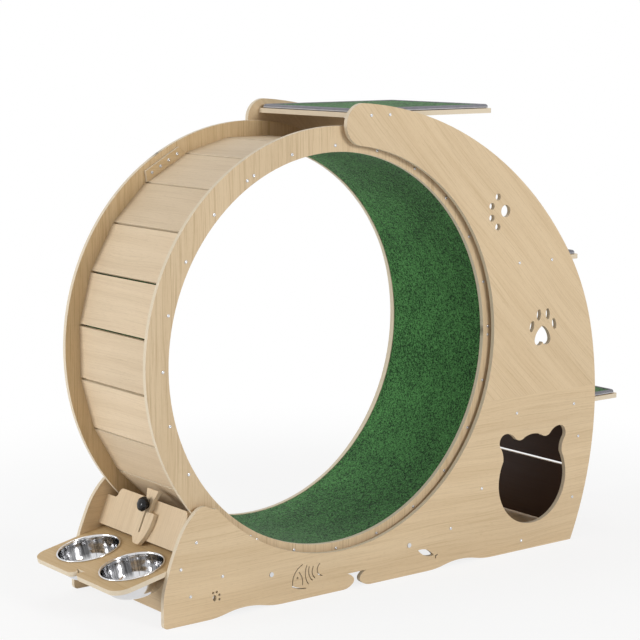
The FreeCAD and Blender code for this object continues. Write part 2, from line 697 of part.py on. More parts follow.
# ------------------------------------------------------------------ boards between the panels
def board_along(start, length, slope, screws, corner=0.0):
    """A board from start on, along a slope; its middle line is drawn, its ends meet the panels.

    The screws are given as distances from its start."""
    face = rounded([(0, -inside, 0), (length, -inside, corner), (length, inside, corner), (0, inside, 0)], lying)
    face.translate(Vector(0, 0, -PLY / 2))
    solid = tilted(face.extrude(Vector(0, 0, PLY)), slope, start)
    holes = []
    for along in screws:
        u, w = swung(along, 0, slope)
        x, z = start[0] + u, start[1] + w
        board_screws.append((x, z))
        holes += [screw_hole(x, z, *blind(side * inside, side * (inside - SCREW_BITE))) for side in (-1, 1)]
    return less(solid, holes)


def upright_board(middle, height, slope):
    """A board on edge, with one screw at each end in its middle."""
    du, dw = swung(height / 2, 0, slope)
    return board_along((middle[0] - du, middle[1] - dw), height, slope, (height / 2,))


def make_pad(left, length, top):
    """A carpet pad on a step: drawn in at its foot, full at half height, with a low crown."""
    half = inside - PAD_MARGIN
    right = left + length
    layers = PAD_LAYERS + ((PAD_ROUNDING, PAD_THICKNESS), (3 * PAD_ROUNDING, PAD_THICKNESS + PAD_CROWN))
    wires = []
    for inset, height in layers:
        x0, x1, y = left + inset, right - inset, half - inset
        corners = [(x0, -y, PAD_ROUNDING), (x1, -y, PAD_ROUNDING), (x1, y, PAD_ROUNDING), (x0, y, PAD_ROUNDING)]
        wire = rounded(corners, lying).OuterWire
        wire.translate(Vector(0, 0, top + height))
        wires.append(wire)
    return Part.makeLoft(wires, True, True)


def make_steps():
    """Top platform, upper step and lower step, each with its pad."""
    upper_left = rim_x(UPPER_STEP_RISE, STEP_TO_RIM)
    lower_left = rim_x(lower_step_z, STEP_TO_RIM)
    rows = (("top_platform", PLATFORM_LEFT, PLATFORM_LENGTH, platform_z, PLATFORM_SCREWS),
            ("upper_step", upper_left, UPPER_STEP_LENGTH, UPPER_STEP_RISE, UPPER_STEP_SCREWS),
            ("lower_step", lower_left, LOWER_STEP_LENGTH, lower_step_z, LOWER_STEP_SCREWS))
    for name, left, length, z, screws in rows:
        parts[name] = [board_along((left, z), length, 0.0, screws, STEP_CORNER)]
        parts[name + "_pad"] = [make_pad(left + PAD_MARGIN, length - 2 * PAD_MARGIN, z + PLY / 2)]


def make_cave():
    """Floor, two end walls with a slit between them, and the sloping inner wall."""
    clear = (cave_top - cave_bottom) / math.cos(math.radians(END_WALL_TILT))
    height = (clear - END_WALL_SLIT) / 2 - END_WALL_END_GAP
    slope = 90.0 - END_WALL_TILT
    foot = (CAVE_FLOOR_RIGHT - END_WALL_FOOT, cave_bottom)
    for name, start in (("cave_end_wall_lower", END_WALL_END_GAP),
                        ("cave_end_wall_upper", END_WALL_END_GAP + height + END_WALL_SLIT)):
        du, dw = swung(start + height / 2, 0, slope)
        parts[name] = [upright_board((foot[0] + du, foot[1] + dw), height, slope)]

    wall_slope = 90.0 - INNER_WALL_TILT
    wall_x, wall_z = around(*INNER_WALL_PLACE)
    wall_top = cave_top - INNER_WALL_TOP_GAP
    rise = math.sin(math.radians(wall_slope))
    run = math.cos(math.radians(wall_slope)) / rise
    wall_length = (wall_top - cave_bottom) / rise
    wall_foot = (wall_x - (wall_z - cave_bottom) * run, cave_bottom)
    screw_at = (wall_z - cave_bottom) / rise
    parts["cave_inner_wall"] = [board_along(wall_foot, wall_length, wall_slope, (screw_at,))]

    floor_left = wall_foot[0] + PLY / 2 / rise + INNER_WALL_TO_FLOOR
    floor_length = CAVE_FLOOR_RIGHT - floor_left
    screws = (floor_length - CAVE_FLOOR_SCREW,)
    parts["cave_floor"] = [board_along((floor_left, cave_floor_z), floor_length, 0.0, screws)]


def make_cross_boards():
    """The two boards on edge that tie the panels together under the wheel."""
    for name, hand in (("left_cross_board", -1), ("right_cross_board", 1)):
        middle = swung(0, -(RING_OUTER_RADIUS + CROSS_BOARD_BEYOND), hand * CROSS_BOARD_ANGLE)
        parts[name] = [upright_board(middle, CROSS_BOARD_HEIGHT, 90.0)]


# ------------------------------------------------------------------ brake
def lock_spot(up, out):
    """A point of the side view, up along the brake board from its lower edge and out of its face."""
    u, w = swung(up, out, LOCK_TILT)
    x, z = around(*LOCK_PLACE)
    return x + u, z + w


def make_lock_board():
    """A board with a raised middle that passes between the rings, drilled for the brake's bolt."""
    low, high, half = LOCK_END_HEIGHT, LOCK_MIDDLE_HEIGHT, LOCK_MIDDLE_HALF
    half_top = half - LOCK_MIDDLE_TAPER
    face = rounded([(0, -inside, 0), (0, inside, 0), (low, inside, 0), (low, half, LOCK_FILLET),
                    (high, half_top, LOCK_CORNER), (high, -half_top, LOCK_CORNER),
                    (low, -half, LOCK_FILLET), (low, -inside, 0)], lying)
    face.translate(Vector(0, 0, -PLY))
    hole = Part.makeCylinder(BOLT_RADIUS + THREAD_CLEARANCE, PLY, Vector(BOLT_HEIGHT, 0, -PLY))
    board = tilted(face.extrude(Vector(0, 0, PLY)).cut(hole), LOCK_TILT, lock_spot(0, 0))
    x, z = lock_spot(LOCK_SCREW, -PLY / 2)
    board_screws.append((x, z))
    return less(board, [screw_hole(x, z, *blind(side * inside, side * (inside - SCREW_BITE)))
                        for side in (-1, 1)])


def make_lock_slide():
    """The brake slide: a shield with a round tongue, a neck and a flared head, slotted for the bolt."""
    tip = SLIDE_HALF / 3
    corner = SLIDE_TONGUE + SLIDE_TONGUE_RISE
    belly, belly_half = (SLIDE_SHOULDER + SLIDE_TONGUE) / 2 - SLIDE_BELLY_DROP, SLIDE_HALF - SLIDE_BELLY_IN
    outline = Outline((corner, tip), lying)
    outline.arc((belly, belly_half), (SLIDE_SHOULDER, SLIDE_HALF))
    outline.line((SLIDE_SHOULDER, SLIDE_NECK_HALF), (SLIDE_NECK_TOP, SLIDE_NECK_HALF))
    outline.line((SLIDE_TOP, SLIDE_HEAD_HALF), (SLIDE_TOP, -SLIDE_HEAD_HALF))
    outline.line((SLIDE_NECK_TOP, -SLIDE_NECK_HALF), (SLIDE_SHOULDER, -SLIDE_NECK_HALF))
    outline.line((SLIDE_SHOULDER, -SLIDE_HALF))
    outline.arc((belly, -belly_half), (corner, -tip))
    outline.arc((SLIDE_TONGUE, 0.0), (corner, tip))
    half = BOLT_RADIUS + SLOT_CLEARANCE
    slot = rounded([(SLOT_START, -half, SLOT_ROUNDING), (SLOT_END, -half, SLOT_ROUNDING),
                    (SLOT_END, half, SLOT_ROUNDING), (SLOT_START, half, SLOT_ROUNDING)], lying)
    plate = outline.face().extrude(Vector(0, 0, PLY)).cut(slot.extrude(Vector(0, 0, PLY)))
    return tilted(plate, LOCK_TILT, lock_spot(0, FIT))


def make_lock_bolt():
    """The bolt from behind the board, through the slide's slot, up into the knob."""
    reach = PLY + 2 * FIT + KNOB_BORE_DEPTH - BOLT_END_GAP
    shank = Part.makeCylinder(BOLT_RADIUS, PLY + reach, Vector(BOLT_HEIGHT, 0, -PLY))
    head = Part.makeCylinder(BOLT_HEAD_RADIUS, BOLT_HEAD_HEIGHT,
                             Vector(BOLT_HEIGHT, 0, -PLY - BOLT_HEAD_HEIGHT))
    return tilted(shank.fuse(head), LOCK_TILT, lock_spot(0, 0))


def make_lock_knob():
    """A lobed knob with a domed top on a round hub."""
    step = 180.0 / KNOB_LOBES
    valley = KNOB_RADIUS - KNOB_VALLEY
    grip = Outline(swung(valley, 0, -step), lying)
    for k in range(KNOB_LOBES):
        angle = 2 * k * step
        grip.arc(swung(KNOB_RADIUS, 0, angle), swung(valley, 0, angle + step))
    body = grip.face().extrude(Vector(0, 0, KNOB_HEIGHT))
    inset, rise = KNOB_UNDERCUT
    foot = [(0, KNOB_HUB_HEIGHT), (KNOB_RADIUS - inset, KNOB_HUB_HEIGHT), (KNOB_RADIUS, KNOB_HUB_HEIGHT + rise)]
    side = [(KNOB_RADIUS - u, KNOB_HEIGHT - w) for u, w in KNOB_DOME]
    dome = revolved(foot + side + [(0, side[-1][1])])
    hub = Part.makeCylinder(KNOB_HUB_RADIUS, KNOB_HUB_HEIGHT + 1)
    bore = Part.makeCylinder(BOLT_RADIUS + THREAD_CLEARANCE, KNOB_BORE_DEPTH)
    knob = body.common(dome).fuse(hub).cut(bore).removeSplitter()
    knob.translate(Vector(BOLT_HEIGHT, 0, PLY + 2 * FIT))
    return tilted(knob, LOCK_TILT, lock_spot(0, 0))


# ------------------------------------------------------------------ feeding tray and bowls
def tray_origin():
    """The middle of the tray's back end, on its upper face."""
    x, z = lock_spot(0, 0)
    down = swung(TRAY_BACK, -TRAY_BELOW_LOCK, TRAY_TILT)
    return x + down[0], z + down[1]


def make_tray():
    """The tilted board with two bowl holes and a flared notch in its free edge."""
    end = -TRAY_LENGTH
    corner = TRAY_CORNER
    arc = corner * (1 - math.sqrt(0.5))
    notch_end = end + TRAY_NOTCH_DEPTH
    outline = Outline((0, -inside), lying).line((0, inside), (end + corner, inside))
    outline.arc((end + arc, inside - arc), (end, inside - corner))
    outline.line((end, TRAY_NOTCH_MOUTH))
    outline.sweep(-90.0, *((end + depth, half) for depth, half in TRAY_NOTCH_SIDE),
                  (notch_end, TRAY_NOTCH_INNER))
    back = 180.0 - outline.heading
    outline.line((notch_end, -TRAY_NOTCH_INNER))
    outline.sweep(back, *((end + depth, -half) for depth, half in reversed(TRAY_NOTCH_SIDE)),
                  (end, -TRAY_NOTCH_MOUTH))
    outline.line((end, corner - inside))
    outline.arc((end + arc, arc - inside), (end + corner, -inside))
    face = outline.face()
    face.translate(Vector(0, 0, -PLY))
    hole = Part.makeCylinder(BOWL_RADIUS + BOWL_CLEARANCE, PLY)
    holes = [hole.translated(Vector(-BOWL_FROM_BACK, side * BOWL_PITCH / 2, -PLY)) for side in (-1, 1)]
    tray = tilted(less(face.extrude(Vector(0, 0, PLY)), holes), TRAY_TILT, tray_origin())
    u, w = swung(-TRAY_SCREW, -PLY / 2, TRAY_TILT)
    x, z = tray_origin()[0] + u, tray_origin()[1] + w
    board_screws.append((x, z))
    return less(tray, [screw_hole(x, z, *blind(side * inside, side * (inside - SCREW_BITE)))
                       for side in (-1, 1)])


def make_bowl(side):
    """A thin steel bowl that hangs in the tray by its rolled rim."""
    body, wall, rim = BOWL_RADIUS, BOWL_WALL, BOWL_RADIUS + BOWL_RIM
    foot = body - BOWL_TAPER
    outer = [(body, 0), (foot, BOWL_BEND - BOWL_DEPTH), (foot - BOWL_BEND, -BOWL_DEPTH), (0, -BOWL_DEPTH)]
    inner = [(0, wall - BOWL_DEPTH), (foot - BOWL_BEND, wall - BOWL_DEPTH),
             (foot - wall, BOWL_BEND + wall - BOWL_DEPTH), (body - wall, BOWL_RIM_HEIGHT / 2)]
    lip = [((body + rim) / 2, BOWL_RIM_HEIGHT), (rim, BOWL_RIM_HEIGHT / 2), (rim, 0)]
    bowl = revolved(outer + inner + lip)
    bowl.translate(Vector(-BOWL_FROM_BACK, side * BOWL_PITCH / 2, 0))
    return tilted(bowl, TRAY_TILT, tray_origin())


def make_feeder_board():
    x, z = tray_origin()
    back = swung(-TRAY_BACK, 0, TRAY_TILT)
    return upright_board((x + back[0], z + back[1] - FEEDER_BOARD_DROP), FEEDER_BOARD_HEIGHT, LOCK_TILT)


# ------------------------------------------------------------------ putting it together
def build_wheel():
    for k in range(SLAT_COUNT):
        parts["slat_%02d" % (k + 1)] = [make_slat(k)]
    for name, side in (("front_ring", -1), ("rear_ring", 1)):
        parts[name] = make_ring(side)
    parts["ring_splice_plates"] = [make_splice(angle, side) for side in (-1, 1) for angle in joint_angles()]
    parts["ring_screws"] = make_wheel_screws()
    parts["running_carpet"] = [make_carpet()]


def build_rollers():
    parts["roller_axles"] = []
    for name, x, z, side in roller_places():
        parts[name + "_roller"] = [make_roller(x, z, side)]
        parts["roller_axles"] += make_axle(x, z, side)


def build_feeder_and_brake():
    parts["lock_board"] = [make_lock_board()]
    parts["lock_slide"] = [make_lock_slide()]
    parts["lock_bolt"] = [make_lock_bolt()]
    parts["lock_knob"] = [make_lock_knob()]
    parts["feeder_tray"] = [make_tray()]
    parts["feeder_cross_board"] = [make_feeder_board()]
    for name, side in (("front_bowl", -1), ("rear_bowl", 1)):
        parts[name] = [make_bowl(side)]


def build_panels():
    """Last, because the panels take a hole for every board screw."""
    lower, upper = make_panels()
    parts["front_lower_panel"], parts["front_upper_panel"] = [lower], [upper]
    parts["rear_lower_panel"], parts["rear_upper_panel"] = [mirrored(lower)], [mirrored(upper)]
    parts["panel_joint_plates"] = [make_joint_plate(side) for side in (-1, 1)]
    screws = [screw(x, z, side * outside, -side, PLY + SCREW_BITE)
              for side in (-1, 1) for x, z in board_screws]
    screws += [screw(x, z, side * (inside - SPLICE_THICKNESS), side, SPLICE_THICKNESS + JOINT_SCREW_BITE)
               for side in (-1, 1) for x, z in joint_screw_places()]
    parts["frame_screws"] = screws


build_wheel()
build_rollers()
build_feeder_and_brake()
make_steps()
make_cave()
make_cross_boards()
build_panels()

leftmost = min(solid.BoundBox.XMin for solid in parts["feeder_tray"])
rightmost = max(solid.BoundBox.XMax for solid in parts["lower_step"])
middle_x = (leftmost + rightmost) / 2

os.makedirs("parts", exist_ok=True)
for part_name, solids in parts.items():
    whole = solids[0] if len(solids) == 1 else Part.makeCompound(solids)
    whole.translate(Vector(-middle_x, 0, -floor_z))
    whole.exportStep("parts/" + part_name + ".step")
print(len(parts), "nodes,", sum(len(p.Solids) for s in parts.values() for p in s), "solids")
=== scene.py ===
"""Looks of the cat exercise wheel: veneered plywood, carpets, steel bowls, brake knob, rollers and screws.

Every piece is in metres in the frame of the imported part: x to the right, y to the rear, z up, floor at 0.
"""

import json
import math

import bmesh
import bpy
import numpy as np
from bpy.props import FloatProperty, FloatVectorProperty, IntProperty, PointerProperty
from mathutils import Matrix, Vector

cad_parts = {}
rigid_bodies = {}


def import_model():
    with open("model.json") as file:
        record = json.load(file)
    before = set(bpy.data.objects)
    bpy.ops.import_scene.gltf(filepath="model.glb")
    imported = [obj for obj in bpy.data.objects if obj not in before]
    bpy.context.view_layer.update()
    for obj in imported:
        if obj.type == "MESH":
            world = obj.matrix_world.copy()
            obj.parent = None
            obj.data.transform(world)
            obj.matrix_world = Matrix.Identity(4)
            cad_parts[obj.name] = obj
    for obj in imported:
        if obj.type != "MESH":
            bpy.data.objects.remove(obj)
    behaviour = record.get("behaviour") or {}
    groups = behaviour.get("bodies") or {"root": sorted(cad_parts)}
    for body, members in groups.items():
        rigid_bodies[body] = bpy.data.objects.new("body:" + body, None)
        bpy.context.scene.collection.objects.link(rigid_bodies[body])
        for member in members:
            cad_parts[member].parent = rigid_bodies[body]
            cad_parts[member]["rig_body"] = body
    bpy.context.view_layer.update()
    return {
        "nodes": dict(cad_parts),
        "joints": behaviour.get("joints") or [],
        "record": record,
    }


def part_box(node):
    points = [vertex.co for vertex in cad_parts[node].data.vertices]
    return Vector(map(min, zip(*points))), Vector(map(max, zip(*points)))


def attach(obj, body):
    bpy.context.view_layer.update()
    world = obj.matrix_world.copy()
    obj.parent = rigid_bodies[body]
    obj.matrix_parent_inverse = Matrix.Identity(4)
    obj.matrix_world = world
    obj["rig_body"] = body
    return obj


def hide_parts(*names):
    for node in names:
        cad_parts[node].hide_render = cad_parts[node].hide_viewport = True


bl_info = {
    "name": "Cat exercise wheel",
    "version": (1, 0, 0),
    "blender": (4, 5, 0),
    "location": "3D View > Sidebar > Wheel",
    "description": "Dresses the plywood exercise wheel in its finishes",
    "category": "Object",
}

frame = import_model()

nodes = frame["nodes"]
joints = {joint["name"]: joint for joint in frame["joints"]}
slot_of = {row["node"]: row["material_slot"] for row in frame["record"]["subparts"]}


def srgb(red, green, blue):
    """A colour as it looks on screen, from 0 to 255, in the linear values that shaders take."""
    share = np.array([red, green, blue]) / 255.0
    return tuple(np.where(share <= 0.04045, share / 12.92, ((share + 0.055) / 1.055) ** 2.4))


# ------------------------------------------------------------------ settings
def tint(name, description, default):
    """A setting that is a colour."""
    return FloatVectorProperty(name=name, description=description, default=default, subtype="COLOR")


def measure(name, description, default):
    """A setting that is a length, in metres."""
    return FloatProperty(name=name, description=description, default=default, unit="LENGTH")


class WoodSettings(bpy.types.PropertyGroup):
    """Plywood sheet, faced with straight-grained veneer."""

    pale: tint("Pale veneer", "Veneer between the streaks", srgb(223, 199, 163))
    deep: tint("Deep veneer", "Veneer in the darker bands", srgb(204, 177, 138))
    pore: tint("Pores", "Short dark dashes along the grain", srgb(176, 148, 108))
    edge: tint("Sheet edge", "Bare plies at a cut edge", srgb(230, 216, 192))
    glue: tint("Glue lines", "Thin lines between the plies", srgb(208, 188, 156))
    # Painted shade: a dark colour that stands in for the shade inside the cave.
    painted_cave_shade: tint("Cave lining", "Dark face inside the cave", srgb(62, 38, 22))
    easing: measure("Eased edge", "How far every cut edge is rounded over", 0.0008)
    ply: measure("Ply", "Thickness of one ply", 0.0024)


class CarpetSettings(bpy.types.PropertyGroup):
    """Short grass-like pile."""

    tip: tint("Pile tips", "Lit ends of the pile", srgb(92, 156, 86))
    root: tint("Pile roots", "Shaded foot of the pile", srgb(12, 44, 18))
    tuft: measure("Tuft", "Distance between tufts", 0.0034)
    height: measure("Pile height", "How much tufts differ in height", 0.0024)
    binding: tint("Binding", "Grey tape sewn round a pad", srgb(142, 142, 150))
    piping: tint("Piping", "Light cord at the foot of a pad", srgb(206, 206, 212))
    backing: tint("Backing", "Dark underside of a pad", srgb(52, 42, 38))
    binding_width: measure("Binding width", "How far the tape reaches in over a pad", 0.011)


class MetalSettings(bpy.types.PropertyGroup):
    """Polished bowls and zinc-plated screws and bolts."""

    steel: tint("Bowl steel", "Polished stainless steel", (0.72, 0.72, 0.73))
    zinc: tint("Zinc", "Screws, axles and bolt", (0.70, 0.71, 0.73))
    head_radius: measure("Screw head", "Radius of a screw's head", 0.0040)
    turns: IntProperty(name="Bowl segments", description="Faces round a bowl", default=128)


class PlasticSettings(bpy.types.PropertyGroup):
    """The knob and the rollers."""

    knob: tint("Knob", "Glossy black", (0.002, 0.002, 0.0025))
    roller: tint("Roller", "Dark grey nylon", srgb(58, 58, 60))
    lobes: IntProperty(name="Lobes", description="Lobes round the knob", default=7)


class StageSettings(bpy.types.PropertyGroup):
    """Floor, backdrop, lamps and camera."""

    camera_place: FloatVectorProperty(name="Camera", description="Where the camera stands",
                                      default=(-2.99989, -3.86890, 1.39374), unit="LENGTH")
    camera_turn: FloatVectorProperty(name="View", description="Azimuth, elevation and roll, in degrees",
                                     default=(-37.1156, 8.7258, -0.143))
    lens: FloatProperty(name="Lens", description="Focal length in millimetres, on a 36 mm sensor",
                        default=107.48)
    floor: tint("Floor", "Plain pale floor", (0.93, 0.93, 0.93))
    glow: FloatProperty(name="Floor glow", default=0.82,
                        description="How much of the floor's white is its own, near the object")
    sky: FloatProperty(name="Fill light", description="Strength of the even light from all round",
                       default=0.42)
    key: FloatProperty(name="Key lamp", description="Power of the large lamp in front, in watts",
                       default=122.0)
    side: FloatProperty(name="Side lamp", description="Power of the lamp at the left, in watts", default=78.0)
    top: FloatProperty(name="Top lamp", description="Power of the lamp overhead, in watts", default=26.0)


class WheelLooks(bpy.types.PropertyGroup):
    """All settings of the wheel's looks."""

    wood: PointerProperty(type=WoodSettings)
    carpet: PointerProperty(type=CarpetSettings)
    metal: PointerProperty(type=MetalSettings)
    plastic: PointerProperty(type=PlasticSettings)
    stage: PointerProperty(type=StageSettings)


# ------------------------------------------------------------------ meshes
NODE_MERGE = 2e-6       # corners of a CAD node nearer than this are one
WELD = 1e-6             # and corners of a new piece


def added(name, data):
    """A new object in the scene that holds a mesh, a lamp or a camera."""
    piece = bpy.data.objects.new(name, data)
    bpy.context.scene.collection.objects.link(piece)
    return piece


def grid_mesh(name, points, wrap_u=False, wrap_v=False, weld=False, smooth=True, layers=None):
    """A mesh of quads through a grid of points of shape (u, v, 3), joined round where it wraps.

    Each layer is an array with one number or one vector a point, kept on the mesh under its name."""
    rows, columns = points.shape[:2]
    index = np.arange(rows * columns).reshape(rows, columns)
    if wrap_u:
        index = np.vstack([index, index[:1]])
    if wrap_v:
        index = np.hstack([index, index[:, :1]])
    quads = np.stack([index[:-1, :-1], index[1:, :-1], index[1:, 1:], index[:-1, 1:]], axis=-1).ravel()
    mesh = bpy.data.meshes.new(name)
    mesh.vertices.add(rows * columns)
    mesh.vertices.foreach_set("co", points.astype(np.float32).ravel())
    mesh.loops.add(len(quads))
    mesh.loops.foreach_set("vertex_index", quads.astype(np.int32))
    mesh.polygons.add(len(quads) // 4)
    mesh.polygons.foreach_set("loop_start", np.arange(0, len(quads), 4, dtype=np.int32))
    mesh.polygons.foreach_set("use_smooth", np.full(len(quads) // 4, smooth))
    mesh.update(calc_edges=True)
    mesh.validate()
    for layer, values in (layers or {}).items():
        vector = values.size == points.size
        kept = mesh.attributes.new(layer, "FLOAT_VECTOR" if vector else "FLOAT", "POINT")
        kept.data.foreach_set("vector" if vector else "value", values.astype(np.float32).ravel())
    if weld:
        shape = bmesh.new()
        shape.from_mesh(mesh)
        bmesh.ops.remove_doubles(shape, verts=shape.verts, dist=WELD)
        bmesh.ops.recalc_face_normals(shape, faces=shape.faces)
        shape.to_mesh(mesh)
        shape.free()
    return added(name, mesh)


def joined(name, pieces):
    """One piece made of several, with their layers kept."""
    with bpy.context.temp_override(active_object=pieces[0], selected_editable_objects=pieces):
        bpy.ops.object.join()
    pieces[0].name = name
    return pieces[0]


def eased_line(corners, radius, steps=4):
    """A line through corners, every inner corner replaced by a parabola that starts and ends a radius away.

    At share t of the corner the point is (1-t)^2 a + 2t(1-t) b + t^2 c, with b the corner itself."""
    most = 0.49     # of each leg, so that the curves of two corners don't meet
    corners = np.array(corners, float)
    share = np.linspace(0.0, 1.0, steps + 1)[:, None]
    line = [corners[:1]]
    for before, corner, after in zip(corners[:-2], corners[1:-1], corners[2:]):
        back, on = before - corner, after - corner
        reach = min(radius, most * np.linalg.norm(back), most * np.linalg.norm(on))
        a = corner + back / np.linalg.norm(back) * reach
        c = corner + on / np.linalg.norm(on) * reach
        line.append((1 - share) ** 2 * a + 2 * share * (1 - share) * corner + share ** 2 * c)
    line.append(corners[-1:])
    return np.vstack(line)


def angles(count):
    """Evenly spaced angles round a circle, as a column."""
    return np.linspace(0.0, 2 * np.pi, count, endpoint=False)[:, None]


def turned_points(profile, segments, lobes=0, depth=0.0):
    """A profile of (radius, height) turned round z: (r cos a, r sin a, h) for evenly spaced a.

    With lobes, every radius is drawn in by depth times (1 - |cos(lobes a / 2)|)."""
    angle = angles(segments)
    radius = profile[None, :, 0] * (1 - depth * (1 - np.abs(np.cos(lobes * angle / 2))))
    height = np.broadcast_to(profile[None, :, 1], radius.shape)
    return np.stack([radius * np.cos(angle), radius * np.sin(angle), height], axis=-1)


def stood(points, axis, place):
    """Points drawn round z, turned so that z runs along axis and the origin is at place."""
    turn = Vector((0, 0, 1)).rotation_difference(Vector(axis)).to_matrix()
    return points @ np.array(turn).T + np.array(place)


def corners_of(node):
    """A CAD node's corners as an array."""
    mesh = nodes[node].data
    corners = np.empty(len(mesh.vertices) * 3)
    mesh.vertices.foreach_get("co", corners)
    return corners.reshape(-1, 3)


def middle_about(node, axis):
    """Where an axis leaves a round node at its upper end, and half the node's two widths and its length."""
    corners = corners_of(node)
    up = np.array(axis) / np.linalg.norm(axis)
    side = np.cross(up, (0.0, 1.0, 0.0)) if abs(up[1]) < 0.9 else np.array((1.0, 0.0, 0.0))
    side /= np.linalg.norm(side)
    other = np.cross(up, side)
    along = corners @ np.stack([side, other, up], axis=1)
    low, high = along.min(axis=0), along.max(axis=0)
    middle = (low + high) / 2
    return side * middle[0] + other * middle[1] + up * high[2], (high - low) / 2


def sheet_normal(node):
    """The direction through a flat sheet: the one that most of its surface faces."""
    mesh = nodes[node].data
    normals = np.empty(len(mesh.polygons) * 3)
    areas = np.empty(len(mesh.polygons))
    mesh.polygons.foreach_get("normal", normals)
    mesh.polygons.foreach_get("area", areas)
    facing = np.round(normals.reshape(-1, 3), 3)
    kinds, kind_of = np.unique(facing, axis=0, return_inverse=True)
    total = np.bincount(kind_of.ravel(), weights=areas)
    normal = Vector(kinds[np.argmax(total)]).normalized()
    return normal if normal.y + normal.z + normal.x > 0 else -normal


def dress(piece, material, node):
    """Gives a new piece its finish, hides the node that it stands for and joins it to the body that it moves
    with.
    """
    piece.data.materials.clear()
    piece.data.materials.append(material)
    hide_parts(node)
    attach(piece, nodes[node]["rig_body"])


# ------------------------------------------------------------------ finishes
class Finish:
    """A material that is being put together."""

    def __init__(self, name):
        self.material = bpy.data.materials.new(name)
        self.material.use_nodes = True
        self.tree = self.material.node_tree
        self.tree.nodes.clear()
        self.shader = self.add("ShaderNodeBsdfPrincipled")
        self.output = self.add("ShaderNodeOutputMaterial", Surface=self.shader.outputs[0])
        self.place = self.add("ShaderNodeTexCoord")

    def add(self, kind, settings=None, **inputs):
        """A node, with its settings, and its inputs given as values or as another node's output."""
        node = self.tree.nodes.new(kind)
        for key, value in (settings or {}).items():
            setattr(node, key, value)
        for key, value in inputs.items():
            self.put(node, key.replace("_", " "), value)
        return node

    def put(self, node, key, value):
        """Sets an input, by name or number, to a value or links it to another node's output."""
        socket = node.inputs[key]
        if isinstance(value, bpy.types.NodeSocket):
            self.tree.links.new(value, socket)
        elif socket.type == "RGBA":
            socket.default_value = (*value[:3], 1.0)
        else:
            socket.default_value = value

    def shade(self, **inputs):
        """Sets the surface shader's inputs."""
        for key, value in inputs.items():
            self.put(self.shader, key.replace("_", " "), value)

    def pair(self, kind, operation, first, second, result=0):
        """A node that works one value out of two."""
        node = self.add(kind, {"operation": operation})
        self.put(node, 0, first)
        self.put(node, 1, second)
        return node.outputs[result]

    def maths(self, operation, first, second=0.0):
        """One number worked out of two, or out of the first alone."""
        return self.pair("ShaderNodeMath", operation, first, second)

    def stretched(self, vector, factors):
        """A place with each of its axes multiplied, so that a pattern there is drawn out or packed."""
        return self.pair("ShaderNodeVectorMath", "MULTIPLY", vector, factors)

    def layer(self, name, output="Fac"):
        """A layer that is kept on the mesh."""
        return self.add("ShaderNodeAttribute", {"attribute_name": name}).outputs[output]

    def noise(self, vector, scale=1.0, detail=2.0, roughness=0.5):
        """Cloudy values about 0.5, scale waves a metre, finer by detail steps."""
        return self.add("ShaderNodeTexNoise", Vector=vector, Scale=scale, Detail=detail,
                        Roughness=roughness).outputs["Fac"]

    def between(self, value, low, high, to_low=0.0, to_high=1.0):
        """A value's range from low to high mapped smoothly to another."""
        node = self.add("ShaderNodeMapRange", {"interpolation_type": "SMOOTHSTEP"}, Value=value,
                        From_Min=low, From_Max=high, To_Min=to_low, To_Max=to_high)
        return node.outputs[0]

    def blend(self, share, first, second):
        """A colour between two; the mixing node keeps its colours at inputs 6 and 7."""
        node = self.add("ShaderNodeMix", {"data_type": "RGBA"})
        self.put(node, 0, share)
        self.put(node, 6, first)
        self.put(node, 7, second)
        return node.outputs[2]

    def bump(self, height, distance, strength):
        """The surface's direction as if height times distance stood out of it."""
        return self.add("ShaderNodeBump", Height=height, Distance=distance, Strength=strength).outputs[0]


def times(colour, factor):
    """A colour made lighter or darker by a factor."""
    return tuple(factor * c for c in colour)


# Waves a metre of the veneer's patterns: along the grain, across it and through the sheet.
WANDER = (1.6, 5.0, 5.0)
BANDS = (0.9, 42.0, 12.0)
STREAKS = (5.0, 320.0, 60.0)
PORES = (55.0, 1500.0, 200.0)
CLOUDS = (2.0, 4.0, 4.0)
CUT_FIBRES = (900.0, 900.0, 60.0)
SWAY = 0.045                # how far the grain wanders sideways, in metres
FACING = (0.35, 0.85)       # cosines to the sheet's normal between which its edge turns into its face


